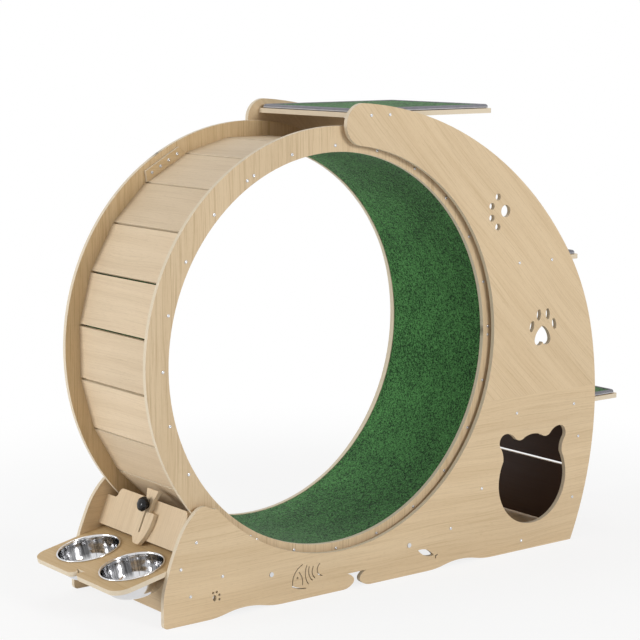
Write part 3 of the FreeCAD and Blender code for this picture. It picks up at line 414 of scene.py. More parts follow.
def veneer_finish(name, wood, sheet, grain, number, look, figure, painted_shading=None):
    """Straight-grained veneer on a sheet's faces and pale plies on its edges.

    In the sheet's own axes u runs along the grain, v across it and w through the sheet.  Noises that
    are drawn out along u give the bands, the streaks and the pores, and a sine of w gives the plies.
    Look is how light and how rich the veneer is, figure how strong its bands and streaks are, and
    the last argument the side of the sheet, 1 or -1 along its normal, that gets painted shade: a dark colour
    in place of the shade inside the cave."""
    finish = Finish(name)
    axes = Matrix((grain, sheet.cross(grain), sheet))
    log_place = (0.37 * number % 3.0, 0.61 * number % 2.0, 0.0)     # every sheet is cut from another place
    own = finish.add("ShaderNodeMapping", Vector=finish.place.outputs["Object"], Rotation=axes.to_euler(),
                     Location=log_place).outputs[0]
    wander = finish.noise(finish.stretched(own, WANDER))
    sway = finish.add("ShaderNodeCombineXYZ", Y=finish.maths("MULTIPLY", wander, SWAY)).outputs[0]
    flow = finish.pair("ShaderNodeVectorMath", "ADD", own, sway)
    bands = finish.noise(finish.stretched(flow, BANDS), detail=3.0, roughness=0.6)
    streaks = finish.noise(finish.stretched(flow, STREAKS), detail=3.0, roughness=0.65)
    pores = finish.noise(finish.stretched(flow, PORES), detail=1.0)
    cloud = finish.noise(finish.stretched(own, CLOUDS), detail=1.0)
    face = finish.blend(finish.between(bands, 0.35, 0.68, 0.0, figure[0]), wood.pale, wood.deep)
    face = finish.blend(finish.between(streaks, 0.48, 0.66, 0.0, figure[1]), face, wood.pore)
    face = finish.blend(finish.between(pores, 0.58, 0.74, 0.0, 0.35), face, wood.pore)
    tone = look[0] * (1.0 + 0.03 * math.sin(2.4 * number))          # sheets differ by 3 % in lightness
    face = finish.add("ShaderNodeHueSaturation", Color=face, Saturation=look[1],
                      Value=finish.between(cloud, 0.3, 0.7, tone * 0.97, tone * 1.03)).outputs[0]
    through = finish.add("ShaderNodeSeparateXYZ", Vector=own).outputs[2]
    plies = finish.maths("SINE", finish.maths("MULTIPLY", through, 2 * math.pi / wood.ply))
    fibres = finish.noise(finish.stretched(own, CUT_FIBRES), detail=1.0)
    edge = finish.blend(finish.between(plies, 0.55, 0.95, 0.0, 0.7), wood.edge, wood.glue)
    edge = finish.blend(finish.between(fibres, 0.5, 0.8, 0.0, 0.3), edge, wood.glue)
    outward = finish.place.outputs["Normal"]
    turned = finish.pair("ShaderNodeVectorMath", "DOT_PRODUCT", outward, sheet, "Value")
    # Painted shade: the face of a cave wall that looks into the cave is blended to a dark colour in place of
    # the shade there.
    if painted_shading is not None:
        inner = finish.between(finish.maths("MULTIPLY", turned, painted_shading), *FACING)
        face = finish.blend(inner, face, wood.painted_cave_shade)
    facing = finish.between(finish.maths("ABSOLUTE", turned), *FACING)
    finish.shade(Base_Color=finish.blend(facing, edge, face), Specular_IOR_Level=0.35,
                 Roughness=finish.between(streaks, 0.3, 0.8, 0.46, 0.60),
                 Normal=finish.bump(finish.maths("ADD", streaks, pores), 0.00015, 0.6))
    return finish.material


SPECKS, CLUMPS, PATCHES = 250.0, 120.0, 9.0     # waves a metre of the pile's patterns


def pile_finish(name, carpet):
    """Grass-like pile, from root to tip colour by each tuft's own height, kept in the layer pile: painted
    shade on low tufts.

    Specks the size of a tuft, clumps of a few and wide patches make it lighter or darker."""
    finish = Finish(name)
    place = finish.place.outputs["Object"]
    specks = finish.noise(place, SPECKS, 3.0, 0.8)
    patterns = (finish.between(specks, 0.36, 0.64, 0.0, 0.7),
                finish.between(finish.noise(place, CLUMPS, 2.0, 0.6), 0.25, 0.75, -0.13, 0.13),
                finish.between(finish.noise(place, PATCHES), 0.3, 0.7, -0.06, 0.06))
    # Painted shade: low tufts, from the layer pile, lean to the dark root colour; specks, clumps and patches
    # are the pile's own tone.
    painted_shade_and_tone = finish.maths("MULTIPLY", finish.layer("pile"), 0.3)
    for pattern in patterns:
        painted_shade_and_tone = finish.maths("ADD", painted_shade_and_tone, pattern)
    finish.shade(Base_Color=finish.blend(finish.between(painted_shade_and_tone, 0.10, 0.95), carpet.root, carpet.tip),
                 Roughness=0.95, Specular_IOR_Level=0.15, Sheen_Weight=0.15,
                 Normal=finish.bump(specks, 0.0012, 0.8))
    return finish.material


THREADS = (2700.0, 2700.0, 2700.0)      # phase of the woven threads a metre: one every 2.3 mm
WEAR = 60.0                             # waves a metre of their worn patches


def cloth_finish(name, colour):
    """Woven tape: the product of two crossed sine waves, worn in patches."""
    finish = Finish(name)
    place = finish.place.outputs["Object"]
    x, y, z = finish.add("ShaderNodeSeparateXYZ", Vector=finish.stretched(place, THREADS)).outputs
    warp = finish.maths("SINE", finish.maths("ADD", x, z))
    weft = finish.maths("SINE", finish.maths("ADD", y, z))
    weave = finish.maths("ADD", finish.maths("MULTIPLY", finish.maths("MULTIPLY", warp, weft), 0.5), 0.5)
    worn = finish.maths("MULTIPLY", weave, finish.noise(place, WEAR, 3.0))
    finish.shade(Base_Color=finish.blend(finish.between(worn, 0.1, 0.5), times(colour, 0.7), colour),
                 Roughness=0.85, Sheen_Weight=0.2, Normal=finish.bump(weave, 0.0003, 0.7))
    return finish.material


SMEARS = 45.0                   # waves a metre of the smears on steel
PAINTED_REFLECTION_WAVES = (4.4, 4.4, 0.25)        # waves of the painted reflections' dark bands: round the piece, and up its wall


def steel_finish(name, colour, low, high, scratches, drawn=False):
    """Metal whose roughness wanders between two values along faint polishing marks.

    The layer dark takes it towards a dark grey, as painted shade.  With drawn, painted reflections in upright
    dark bands
    on its inner wall take its place: the layer around holds the cosine and sine round the piece, and the
    height on that wall."""
    finish = Finish(name)
    place = finish.place.outputs["Object"]
    marks = finish.noise(finish.stretched(place, (scratches, scratches, scratches / 12)))
    smears = finish.noise(place, SMEARS)
    metal = finish.blend(finish.between(smears, 0.3, 0.7, 0.0, 0.25), colour, times(colour, 0.82))
    if drawn:
        # Painted reflection: upright dark bands on the inner wall stand in for dark surroundings mirrored in
        # the polished steel.
        around = finish.layer("around", "Vector")
        bands = finish.noise(finish.stretched(around, PAINTED_REFLECTION_WAVES), detail=2.5, roughness=0.65)
        height = finish.add("ShaderNodeSeparateXYZ", Vector=around).outputs[2]
        wall = finish.maths("MULTIPLY", finish.between(height, 0.08, 0.30),
                            finish.between(height, 0.88, 0.98, 1.0, 0.0))
        dark = finish.maths("MULTIPLY", finish.between(bands, 0.42, 0.60, 0.0, 0.85), wall)
    else:
        # Painted shade: the layer dark darkens a screw's recess and the foot of its head.
        dark = finish.layer("dark")
    finish.shade(Base_Color=finish.blend(dark, metal, times(colour, 0.16)), Metallic=1.0,
                 Roughness=finish.between(finish.maths("ADD", marks, smears), 0.6, 1.3, low, high),
                 Normal=finish.bump(marks, 0.00002, 0.3))
    return finish.material


SKIN, FLOW = 400.0, 35.0        # waves a metre of moulded plastic: its skin, and its wider unevenness


def plastic_finish(name, colour, low, high, grain, gloss):
    """Moulded plastic with a slight skin of the given grain, in metres."""
    finish = Finish(name)
    place = finish.place.outputs["Object"]
    flow = finish.noise(place, FLOW)
    share = finish.between(flow, 0.3, 0.7, 0.0, 0.6)
    finish.shade(Base_Color=finish.blend(share, colour, times(colour, 1.5)),
                 Roughness=finish.between(flow, 0.3, 0.7, low, high), Specular_IOR_Level=gloss,
                 Normal=finish.bump(finish.noise(place, SKIN), grain, 0.5))
    return finish.material


# ------------------------------------------------------------------ wooden pieces
UPRIGHT = Vector((0, 0, 1))
LEVEL = Vector((1, 0, 0))
CROSSWISE = Vector((0, 1, 0))
DIAGONAL = Vector((1, 0, -1)).normalized()
GRAIN = {"front_ring": UPRIGHT, "rear_ring": UPRIGHT, "ring_splice_plates": LEVEL,
         "front_upper_panel": DIAGONAL, "rear_upper_panel": DIAGONAL, "panel_joint_plates": LEVEL,
         "front_lower_panel": LEVEL, "rear_lower_panel": LEVEL,
         "top_platform": LEVEL, "upper_step": LEVEL, "lower_step": LEVEL, "cave_floor": LEVEL}

# How light and how rich a board's veneer is, and how strong its broad bands and its fine streaks are.
BOARD_LOOK, BOARD_FIGURE = (1.0, 1.0), (0.40, 0.26)
SLAT_LOOK, SLAT_FIGURE = (1.03, 0.88), (0.35, 0.18)
RING_FIGURE = (0.30, 0.46)
# Painted light: the lock board and its slide are made lighter where light falls on them. Painted shade: the
# rear ring and the feeder tray are made darker where they lie in shade. The splice plates are a little
# darker.
LOOK_WITH_PAINTED_LIGHT = {"feeder_tray": (0.88, 1.18), "lock_board": (1.10, 0.92), "lock_slide": (1.08, 0.92),
        "rear_ring": (0.94, 1.12), "ring_splice_plates": (0.92, 1.15)}
FIGURE = {"front_ring": RING_FIGURE, "rear_ring": RING_FIGURE,
          "lock_board": SLAT_FIGURE, "lock_slide": SLAT_FIGURE}
# The side of the cave's end walls, against their normals, that gets painted shade: a dark colour where the
# cave lies in shade.
CAVE_PAINTED_SHADE = {"cave_end_wall_upper": -1.0, "cave_end_wall_lower": -1.0}

FLAT_WITHIN = math.radians(0.5)         # faces that turn less than this are one
SHARP_FROM = 0.5                        # edges that turn more than this, in radians, are eased
SMOOTH_UP_TO = math.radians(18)         # edges that turn less than this are shaded round


def eased_sheet(node, easing):
    """A copy of a wooden node with its loose triangles merged and every cut edge rounded over."""
    shape = bmesh.new()
    shape.from_mesh(nodes[node].data)
    bmesh.ops.remove_doubles(shape, verts=shape.verts, dist=NODE_MERGE)
    bmesh.ops.dissolve_limit(shape, angle_limit=FLAT_WITHIN, use_dissolve_boundaries=False,
                             verts=shape.verts, edges=shape.edges)
    sharp = [edge for edge in shape.edges
             if len(edge.link_faces) == 2 and edge.calc_face_angle() > SHARP_FROM]
    bmesh.ops.bevel(shape, geom=sharp, offset=easing, offset_type="OFFSET", segments=2, profile=0.5,
                    affect="EDGES", clamp_overlap=True)
    mesh = bpy.data.meshes.new(node + "_board")
    shape.to_mesh(mesh)
    shape.free()
    mesh.polygons.foreach_set("use_smooth", np.full(len(mesh.polygons), True))
    mesh.set_sharp_from_angle(angle=SMOOTH_UP_TO)
    return added(node + "_board", mesh)


class WHEEL_OT_boards(bpy.types.Operator):
    """Gives every sheet of plywood eased edges and its veneer"""

    bl_idname = "wheel.boards"
    bl_label = "Boards, rings and slats"

    def execute(self, context):
        wood = context.scene.wheel_looks.wood
        wooden = sorted(node for node, slot in slot_of.items() if slot == "oak_ply")
        for number, node in enumerate(wooden):
            sheet = sheet_normal(node)
            grain = GRAIN.get(node, CROSSWISE)
            if node in ("lock_board", "lock_slide"):
                grain = CROSSWISE.cross(sheet)
            slat = node.startswith("slat_")
            look = SLAT_LOOK if slat else LOOK_WITH_PAINTED_LIGHT.get(node, BOARD_LOOK)
            figure = SLAT_FIGURE if slat else FIGURE.get(node, BOARD_FIGURE)
            finish = veneer_finish(node + "_veneer", wood, sheet, grain, number, look, figure,
                                   CAVE_PAINTED_SHADE.get(node))
            dress(eased_sheet(node, wood.easing), finish, node)
        return {"FINISHED"}


# ------------------------------------------------------------------ carpets
MAT_SEED, PAD_SEED = 3, 10      # of the tufts; the way they lean is drawn from the next number
SHARED = 0.3                    # share of a tuft's height that it has from its neighbours
LEAN = 0.6                      # how far tufts lean, as a share of the distance between them
MAT_BEVEL = (0.003, 0.001)      # the mat's back edges: depth and width of their bevel

PAD_CORNER = 0.012              # radius of a pad's corners
LOOP_POINTS = 240               # points round a pad
HELD = 0.985                    # share of a pad's half width beyond which the tape holds the tufts down
TUCK = 0.002                    # how far the pile reaches in under the tape
DROP, CROWN = 0.0026, 0.0012    # how far the pile's edge lies below the pad's top, and how far it swells
PILE_BACK = 0.001               # how far the pile's underside lies below its border
CORD_IN, CORD_UP, CORD = 0.0014, 0.0030, 0.0017     # the piping's middle, in from the edge and up, and radius
INSET = 0.004                   # how far the back lies in from the pad's edge
# The back's section: share of the way out, and height.
BACK = np.array([(0.0, 0.0), (0.5, 0.0), (1.0, 0.0), (1.0, 0.004), (0.0, 0.004)])


def tufts(rows, columns, seed):
    """Pile heights from 0 to 1: a random value at every corner, part of it shared with its neighbours."""
    wild = np.random.default_rng(seed).random((rows, columns))
    shared = (wild + np.roll(wild, 1, 0) + np.roll(wild, 1, 1) + np.roll(wild, (1, 1), (0, 1))) / 4
    return np.clip((1 - SHARED) * wild + SHARED * shared, 0.0, 1.0)


class WHEEL_OT_running_carpet(bpy.types.Operator):
    """Lays the round mat inside the slats"""

    bl_idname = "wheel.running_carpet"
    bl_label = "Running carpet"

    def execute(self, context):
        """The mat's section is carried round the axis: radius R(v) - h(u, v), depth y(v), angle 2 pi u."""
        carpet = context.scene.wheel_looks.carpet
        low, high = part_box("running_carpet")
        middle = (low + high) / 2
        outer, half = (high.z - low.z) / 2, (high.y - low.y) / 2
        corners = corners_of("running_carpet")
        inner = np.hypot(corners[:, 0] - middle.x, corners[:, 2] - middle.z).min()
        columns, rows = int(2 * half / carpet.tuft), int(2 * math.pi * inner / carpet.tuft)
        side, back = outer - MAT_BEVEL[0], half - MAT_BEVEL[1]
        radius = np.concatenate([np.full(columns, inner + 0.6 * carpet.height), [side, outer, outer, side]])
        depth = np.concatenate([np.linspace(-half, half, columns), [half, back, -back, -half]])
        height = np.zeros((rows, len(radius)))
        height[:, :columns] = tufts(rows, columns, MAT_SEED)
        height[:, [0, columns - 1]] *= 0.3
        lean = np.random.default_rng(MAT_SEED + 1).random(height.shape) - 0.5
        lean[:, columns:] = 0.0
        angle = angles(rows) + lean * LEAN * carpet.tuft / inner
        reach = radius - height * carpet.height
        points = np.stack([middle.x + reach * np.cos(angle), np.broadcast_to(middle.y + depth, reach.shape),
                           middle.z + reach * np.sin(angle)], axis=-1)
        piece = grid_mesh("running_mat", points[::-1], wrap_u=True, wrap_v=True,
                          layers={"pile": height[::-1]})
        dress(piece, pile_finish("running_pile", carpet), "running_carpet")
        return {"FINISHED"}


def rounded_loop(half_x, half_y, corner):
    """Points evenly spaced round a rectangle with round corners, as (x, y) and outward (x, y).

    Each is a corner's centre plus its radius times outward (cos a, sin a).  In a corner a grows by the
    distance run over the radius, and on a side that distance is added."""
    straight_x, straight_y = 2 * (half_x - corner), 2 * (half_y - corner)
    quarter = math.pi / 2 * corner
    starts = np.concatenate([[0.0], np.cumsum([straight_y, quarter, straight_x, quarter] * 2)])
    along = np.linspace(0.0, starts[-1], LOOP_POINTS, endpoint=False)
    leg = np.searchsorted(starts, along, side="right") - 1
    side, bent = leg // 2, leg % 2 == 1
    run = along - starts[leg]
    turn = side * math.pi / 2 + np.where(bent, run / corner, 0.0)
    out = np.stack([np.cos(turn), np.sin(turn)], axis=-1)
    centres = np.array([(1, -1), (1, 1), (-1, 1), (-1, -1)]) * (half_x - corner, half_y - corner)
    centre = centres[np.where(bent, side + 1, side) % 4]
    onward = np.where(bent, 0.0, run)[:, None] * np.stack([-out[:, 1], out[:, 0]], axis=-1)
    return centre + onward + out * corner, out


def raised(flat, height):
    """A grid of points (x, y), each given the height of its column."""
    return np.concatenate([flat, np.broadcast_to(height, flat.shape[:2])[..., None]], axis=-1)


def pad_pile(name, carpet, seed, foot, half_x, half_y, thick):
    """A pad's pile, closed below: at x and y from -1 to 1 its ground swells by (1 - x^4)(1 - y^4).

    Every corner leans and stands up by its own draw, and the border is drawn down under the tape."""
    border = carpet.binding_width
    columns, rows = int(2 * (half_x - border) / carpet.tuft), int(2 * (half_y - border) / carpet.tuft)
    x = np.linspace(-1.0, 1.0, columns)[:, None]
    y = np.linspace(-1.0, 1.0, rows)[None, :]
    ground = thick - DROP + CROWN * (1 - x ** 4) * (1 - y ** 4)
    held = np.maximum(np.abs(x), np.abs(y)) > HELD
    height = np.where(held, 0.2, tufts(columns, rows, seed))
    lean = np.random.default_rng(seed + 1).random((2, columns, rows)) - 0.5
    lean = lean * LEAN * carpet.tuft * (1 - held)
    points = np.stack([foot.x + x * (half_x - border + TUCK) + lean[0],
                       foot.y + y * (half_y - border + TUCK) + lean[1],
                       foot.z + ground + (height - 0.7) * carpet.height], axis=-1)
    edge = np.pad(np.zeros((columns - 2, rows - 2), bool), 1, constant_values=True)
    tucked = foot.z + thick * 0.5
    points[edge, 2] = tucked
    under = points.copy()
    under[~edge, 2] = tucked - PILE_BACK
    return grid_mesh(name, np.concatenate([points, under[::-1]]), wrap_u=True, weld=True,
                     layers={"pile": np.concatenate([height, height[::-1]])})


def pad_pieces(node, carpet, seed):
    """A carpet pad: pile on top, grey tape round its edge, a light piping below it and a dark back.

    Tape and piping are sections (outward, height) that are carried round the pad's outline, and the back
    is the outline drawn together to its middle."""
    low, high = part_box(node)
    middle = (low + high) / 2
    foot = Vector((middle.x, middle.y, low.z))
    centre = np.array(foot.xy)
    half_x, half_y, thick = (high.x - low.x) / 2, (high.y - low.y) / 2, high.z - low.z
    border = carpet.binding_width
    tape = eased_line([(-border, thick * 0.55), (-border, thick - 0.0018), (-border * 0.5, thick - 0.0006),
                       (-0.0012, thick - 0.0034), (0.0, thick * 0.45), (-0.0016, thick * 0.24),
                       (-border, thick * 0.24)], 0.002)
    turn = angles(12)
    piping = np.hstack([CORD * np.cos(turn) - CORD_IN, CORD * np.sin(turn) + CORD_UP])
    made = [pad_pile(node + "_pile", carpet, seed, foot, half_x, half_y, thick)]
    loop, out = rounded_loop(half_x, half_y, PAD_CORNER)
    for name, line in (("_tape", tape), ("_piping", piping)):
        ring = raised(centre + loop[:, None] + out[:, None] * line[None, :, :1], foot.z + line[:, 1])
        made.append(grid_mesh(node + name, ring, wrap_u=True, wrap_v=True, weld=True))
    loop = rounded_loop(half_x - INSET, half_y - INSET, PAD_CORNER - INSET)[0]
    slab = raised(centre + loop[:, None] * BACK[None, :, :1], foot.z + BACK[:, 1])
    made.append(grid_mesh(node + "_back", slab, wrap_u=True, weld=True, smooth=False))
    return made


class WHEEL_OT_step_pads(bpy.types.Operator):
    """Makes the carpet pads of the platform and the two steps"""

    bl_idname = "wheel.step_pads"
    bl_label = "Step pads"

    def execute(self, context):
        carpet = context.scene.wheel_looks.carpet
        finishes = [pile_finish("pad_pile", carpet), cloth_finish("pad_tape", carpet.binding),
                    cloth_finish("pad_piping", carpet.piping), cloth_finish("pad_back", carpet.backing)]
        for number, node in enumerate(("top_platform_pad", "upper_step_pad", "lower_step_pad")):
            for piece, finish in zip(pad_pieces(node, carpet, PAD_SEED + number), finishes):
                dress(piece, finish, node)
        return {"FINISHED"}


# ------------------------------------------------------------------ bowls, knob, rollers and screws
BOWL_WALL, BOWL_TAPER = 0.0012, 0.004       # thickness, and how much narrower the wall is at its foot
BOWL_BEND, BOWL_NECK = 0.024, 0.010         # size of the bend into the bottom, depth that the neck reaches
ROLL_OUT, ROLL_TALL = 0.0045, 0.004         # the rolled rim: how far it stands out, and its height
DIMPLE_TOP, DIMPLE_FOOT, DIMPLE_RISE = 0.028, 0.034, 0.0012     # radii and height of the bottom's middle

KNOB_TURNS, LOBE_DEPTH = 140, 0.05          # faces round the knob, and how far it is drawn in between lobes
KNOB_BORE, BORE_DEEP = 0.0032, 0.010
HUB_RADIUS, HUB_TALL = 0.0090, 0.0085

ROLLER_GROOVE, ROLLER_BORE = 0.0045, 0.00408        # depth of the groove, radius of the bore

SHANK_REACH = 0.0026        # corners of a screw that lie further than this from its axis are the head's
SHANK = 0.45                # radius of the shank as a share of the head's
# Rings of a screw's head, from the middle of its recess: radius as a share of the head's, depth below its
# top, whether the cross shapes it, and how much painted shade it has.
HEAD_RINGS = ((0.0, 0.0011, 0, 0.7), (0.26, 0.0010, 1, 0.6), (0.50, 0.00012, 1, 0.15),
              (0.70, 0.00010, 0, 0.0), (0.88, 0.00035, 0, 0.0), (1.0, 0.0009, 0, 0.35),
              (1.0, 0.0016, 0, 0.8), (SHANK, 0.0016, 0, 0.0))


def bowl_profile(rim, depth):
    """A bowl's section as (radius, height), from the middle of its outside to the middle of its inside.

    The rolled rim is an ellipse's arc.  Also the share of the depth at which each point of the inside
    stands, and 0 on the outside."""
    body, low = rim - ROLL_OUT, -depth
    foot, dimple, bend = body - BOWL_TAPER, low + DIMPLE_RISE, 0.3 * BOWL_BEND
    outside = eased_line([(0.0, dimple), (DIMPLE_TOP, dimple), (DIMPLE_FOOT, low), (foot - BOWL_BEND, low),
                          (foot - bend, low + bend), (foot, low + BOWL_BEND), (body, -BOWL_NECK),
                          (body, -ROLL_TALL)], 0.010, 6)
    turn = np.linspace(-0.5 * np.pi, 0.92 * np.pi, 16)
    roll = np.stack([(body + rim) / 2 + ROLL_OUT / 2 * np.cos(turn),
                     ROLL_TALL / 2 * (np.sin(turn) - 1)], axis=-1)
    body, inner_foot, floor = body - BOWL_WALL, foot - BOWL_WALL, low + BOWL_WALL
    inside = eased_line([(body, -0.9 * ROLL_TALL), (body, -BOWL_NECK), (inner_foot, low + BOWL_BEND),
                         (inner_foot - bend, floor + bend), (foot - BOWL_BEND, floor), (DIMPLE_FOOT, floor),
                         (DIMPLE_TOP, floor + DIMPLE_RISE), (0.0, floor + DIMPLE_RISE)], 0.010, 6)
    up = np.concatenate([np.zeros(len(outside) + len(roll)), inside[:, 1] / depth + 1.0])
    return np.vstack([outside, roll, inside]), up


class WHEEL_OT_bowls(bpy.types.Operator):
    """Turns the two steel bowls"""

    bl_idname = "wheel.bowls"
    bl_label = "Bowls"

    def execute(self, context):
        """The section is turned about the bowl's axis; the layer around keeps (cos a, sin a, height)."""
        metal = context.scene.wheel_looks.metal
        # The bowls' steel carries painted reflections on its inner wall.
        finish = steel_finish("bowl_steel", metal.steel, 0.06, 0.16, 900.0, drawn=True)
        for node in ("front_bowl", "rear_bowl"):
            axis = joints[node + "_lift"]["axis"]
            top, size = middle_about(node, axis)
            profile, up = bowl_profile(size[0], 2 * size[2])
            turned = turned_points(profile, metal.turns)
            angle = angles(metal.turns)
            around = np.stack(np.broadcast_arrays(np.cos(angle), np.sin(angle), up), axis=-1)
            piece = grid_mesh(node + "_steel", stood(turned, axis, top), wrap_u=True, weld=True,
                              layers={"around": around})
            dress(piece, finish, node)
        return {"FINISHED"}


class WHEEL_OT_knob(bpy.types.Operator):
    """Moulds the lobed brake knob"""

    bl_idname = "wheel.knob"
    bl_label = "Brake knob"

    def execute(self, context):
        """The section of hub, skirt and dome is turned, and its radius drawn in between the lobes."""
        plastic = context.scene.wheel_looks.plastic
        axis = joints["knob_turn"]["axis"]
        top, size = middle_about("lock_knob", axis)
        radius, tall = float(size[:2].max()), 2 * float(size[2])
        under, hub_top = -tall + BORE_DEEP, -tall + HUB_TALL
        bore = np.array([(0.0, under), (KNOB_BORE, under), (KNOB_BORE, -tall)])
        hub = eased_line([(KNOB_BORE, -tall), (HUB_RADIUS, -tall), (HUB_RADIUS, hub_top)], 0.0008)
        grip = eased_line([(0.0098, hub_top), (radius - 0.003, -tall + 0.0088), (radius, -tall + 0.0125),
                           (radius, -0.0105), (radius - 0.0030, -0.0050), (radius - 0.0085, -0.0014),
                           (0.0030, 0.0), (0.0, 0.0)], 0.006, 6)
        turned = [turned_points(bore, KNOB_TURNS), turned_points(hub, KNOB_TURNS),
                  turned_points(grip, KNOB_TURNS, plastic.lobes, LOBE_DEPTH)]
        points = stood(np.concatenate(turned, axis=1), axis, top)
        piece = grid_mesh("brake_knob", points, wrap_u=True, weld=True)
        dress(piece, plastic_finish("knob_plastic", plastic.knob, 0.04, 0.07, 0.00001, 0.36), "lock_knob")
        return {"FINISHED"}


class WHEEL_OT_rollers(bpy.types.Operator):
    """Turns the four grooved rollers"""

    bl_idname = "wheel.rollers"
    bl_label = "Rollers"

    def execute(self, context):
        """Hub, face, flange and groove are turned about the roller's own axis."""
        plastic = context.scene.wheel_looks.plastic
        finish = plastic_finish("roller_nylon", plastic.roller, 0.35, 0.5, 0.00005, 0.5)
        for node in [n for n in nodes if n.endswith("_roller")]:
            top, size = middle_about(node, (0.0, 1.0, 0.0))
            rim, half = float(size[0]), float(size[2])
            side = [(ROLLER_BORE, half), (0.0100, half), (0.0106, half - 0.0012),
                    (rim - 0.006, half - 0.0012), (rim - 0.005, half), (rim - 0.0015, half),
                    (rim, half - 0.0015), (rim - ROLLER_GROOVE, 0.0064)]
            section = eased_line(side + [(r, -h) for r, h in reversed(side)] + [side[0]], 0.0008, 3)
            section[:, 1] -= half
            points = stood(turned_points(section[:-1], 64), (0.0, 1.0, 0.0), top)
            dress(grid_mesh(node + "_wheel", points, wrap_u=True, wrap_v=True, weld=True), finish, node)
        return {"FINISHED"}


def head_places(node):
    """Middle, outward direction and shank length of every screw in a node, from its islands of faces."""
    shape = bmesh.new()
    shape.from_mesh(nodes[node].data)
    bmesh.ops.remove_doubles(shape, verts=shape.verts, dist=NODE_MERGE)
    left = set(shape.verts)
    places = []
    while left:
        island, front = set(), [left.pop()]
        while front:
            vert = front.pop()
            island.add(vert)
            front += left.intersection(link.other_vert(vert) for link in vert.link_edges)
            left.difference_update(front)
        corners = np.array([v.co for v in island])
        low, high = corners.min(axis=0), corners.max(axis=0)
        middle = (low + high) / 2
        wide = np.abs(corners - middle)[:, [0, 2]].max(axis=1) > SHANK_REACH
        head = corners[wide, 1].mean()
        out = math.copysign(1.0, head - middle[1])
        places.append((middle[0], high[1] if out > 0 else low[1], middle[2], out, high[1] - low[1]))
    shape.free()
    return sorted(places)


def screw_points(radius, out, long):
    """A round head with a cross recess, and its shank, as rings of 16 corners at angles a.

    A ring's radius is its share of the head's, times 0.34 + 0.66 |cos 2a|^3 where the cross shapes it.
    Also how much painted shade each corner has, most in the recess and at the head's foot."""
    rings = np.array(HEAD_RINGS + ((SHANK, long, 0, 0.0), (0.0, long, 0, 0.0)))
    share, down, crossed, dark = rings.T[:, None]
    angle = angles(16)
    cross = 0.34 + 0.66 * np.abs(np.cos(2 * angle)) ** 3
    size = radius * share * np.where(crossed, cross, 1.0)
    points = [size * np.cos(angle), np.broadcast_to(-out * down, size.shape), out * size * np.sin(angle)]
    return np.stack(points, axis=-1), np.broadcast_to(dark, size.shape)


class WHEEL_OT_screws(bpy.types.Operator):
    """Puts a round-headed screw at every screw's place, and plates the bolts"""

    bl_idname = "wheel.screws"
    bl_label = "Screws and bolts"

    def execute(self, context):
        metal = context.scene.wheel_looks.metal
        finish = steel_finish("zinc_plate", metal.zinc, 0.22, 0.38, 600.0)
        for node in ("ring_screws", "frame_screws"):
            heads = []
            for place, (x, y, z, out, long) in enumerate(head_places(node)):
                points, dark = screw_points(metal.head_radius, out, long)
                # Each head carries its painted shade in the layer dark.
                heads.append(grid_mesh(f"{node}_{place}", points + np.array((x, y, z)), wrap_u=True,
                                       weld=True, layers={"dark": dark}))
            dress(joined(node + "_heads", heads), finish, node)
        for node in ("roller_axles", "lock_bolt"):
            nodes[node].data.materials.clear()
            nodes[node].data.materials.append(finish)
        return {"FINISHED"}


# ------------------------------------------------------------------ stage
# Each lamp's place, the point that it looks at, and its size.
KEY_LAMP = ((0.4, -5.6, 2.3), (0.0, 0.0, 0.5), 1.4)
SIDE_LAMP = ((-4.6, 1.3, 1.3), (0.0, 0.0, 0.5), 1.4)
TOP_LAMP = ((0.3, 1.5, 4.6), (0.0, 0.2, 0.5), 2.0)
FLOOR_REACH, FLOOR_DROP = 14.0, 0.0005      # half the floor's width, and how far it lies below the feet
SHADOWS = (0.9, 2.2)                        # shadows fade out between these distances from the middle
SENSOR = 36.0                               # width of the camera's sensor, in millimetres


def lamp(name, place, aim, size, power):
    """A square soft lamp that looks at a point."""
    light = bpy.data.lights.new(name, "AREA")
    light.shape = "SQUARE"
    light.size = size
    light.energy = power
    holder = added(name, light)
    holder.location = place
    holder.rotation_mode = "QUATERNION"
    holder.rotation_quaternion = (Vector(aim) - Vector(place)).to_track_quat("-Z", "Y")


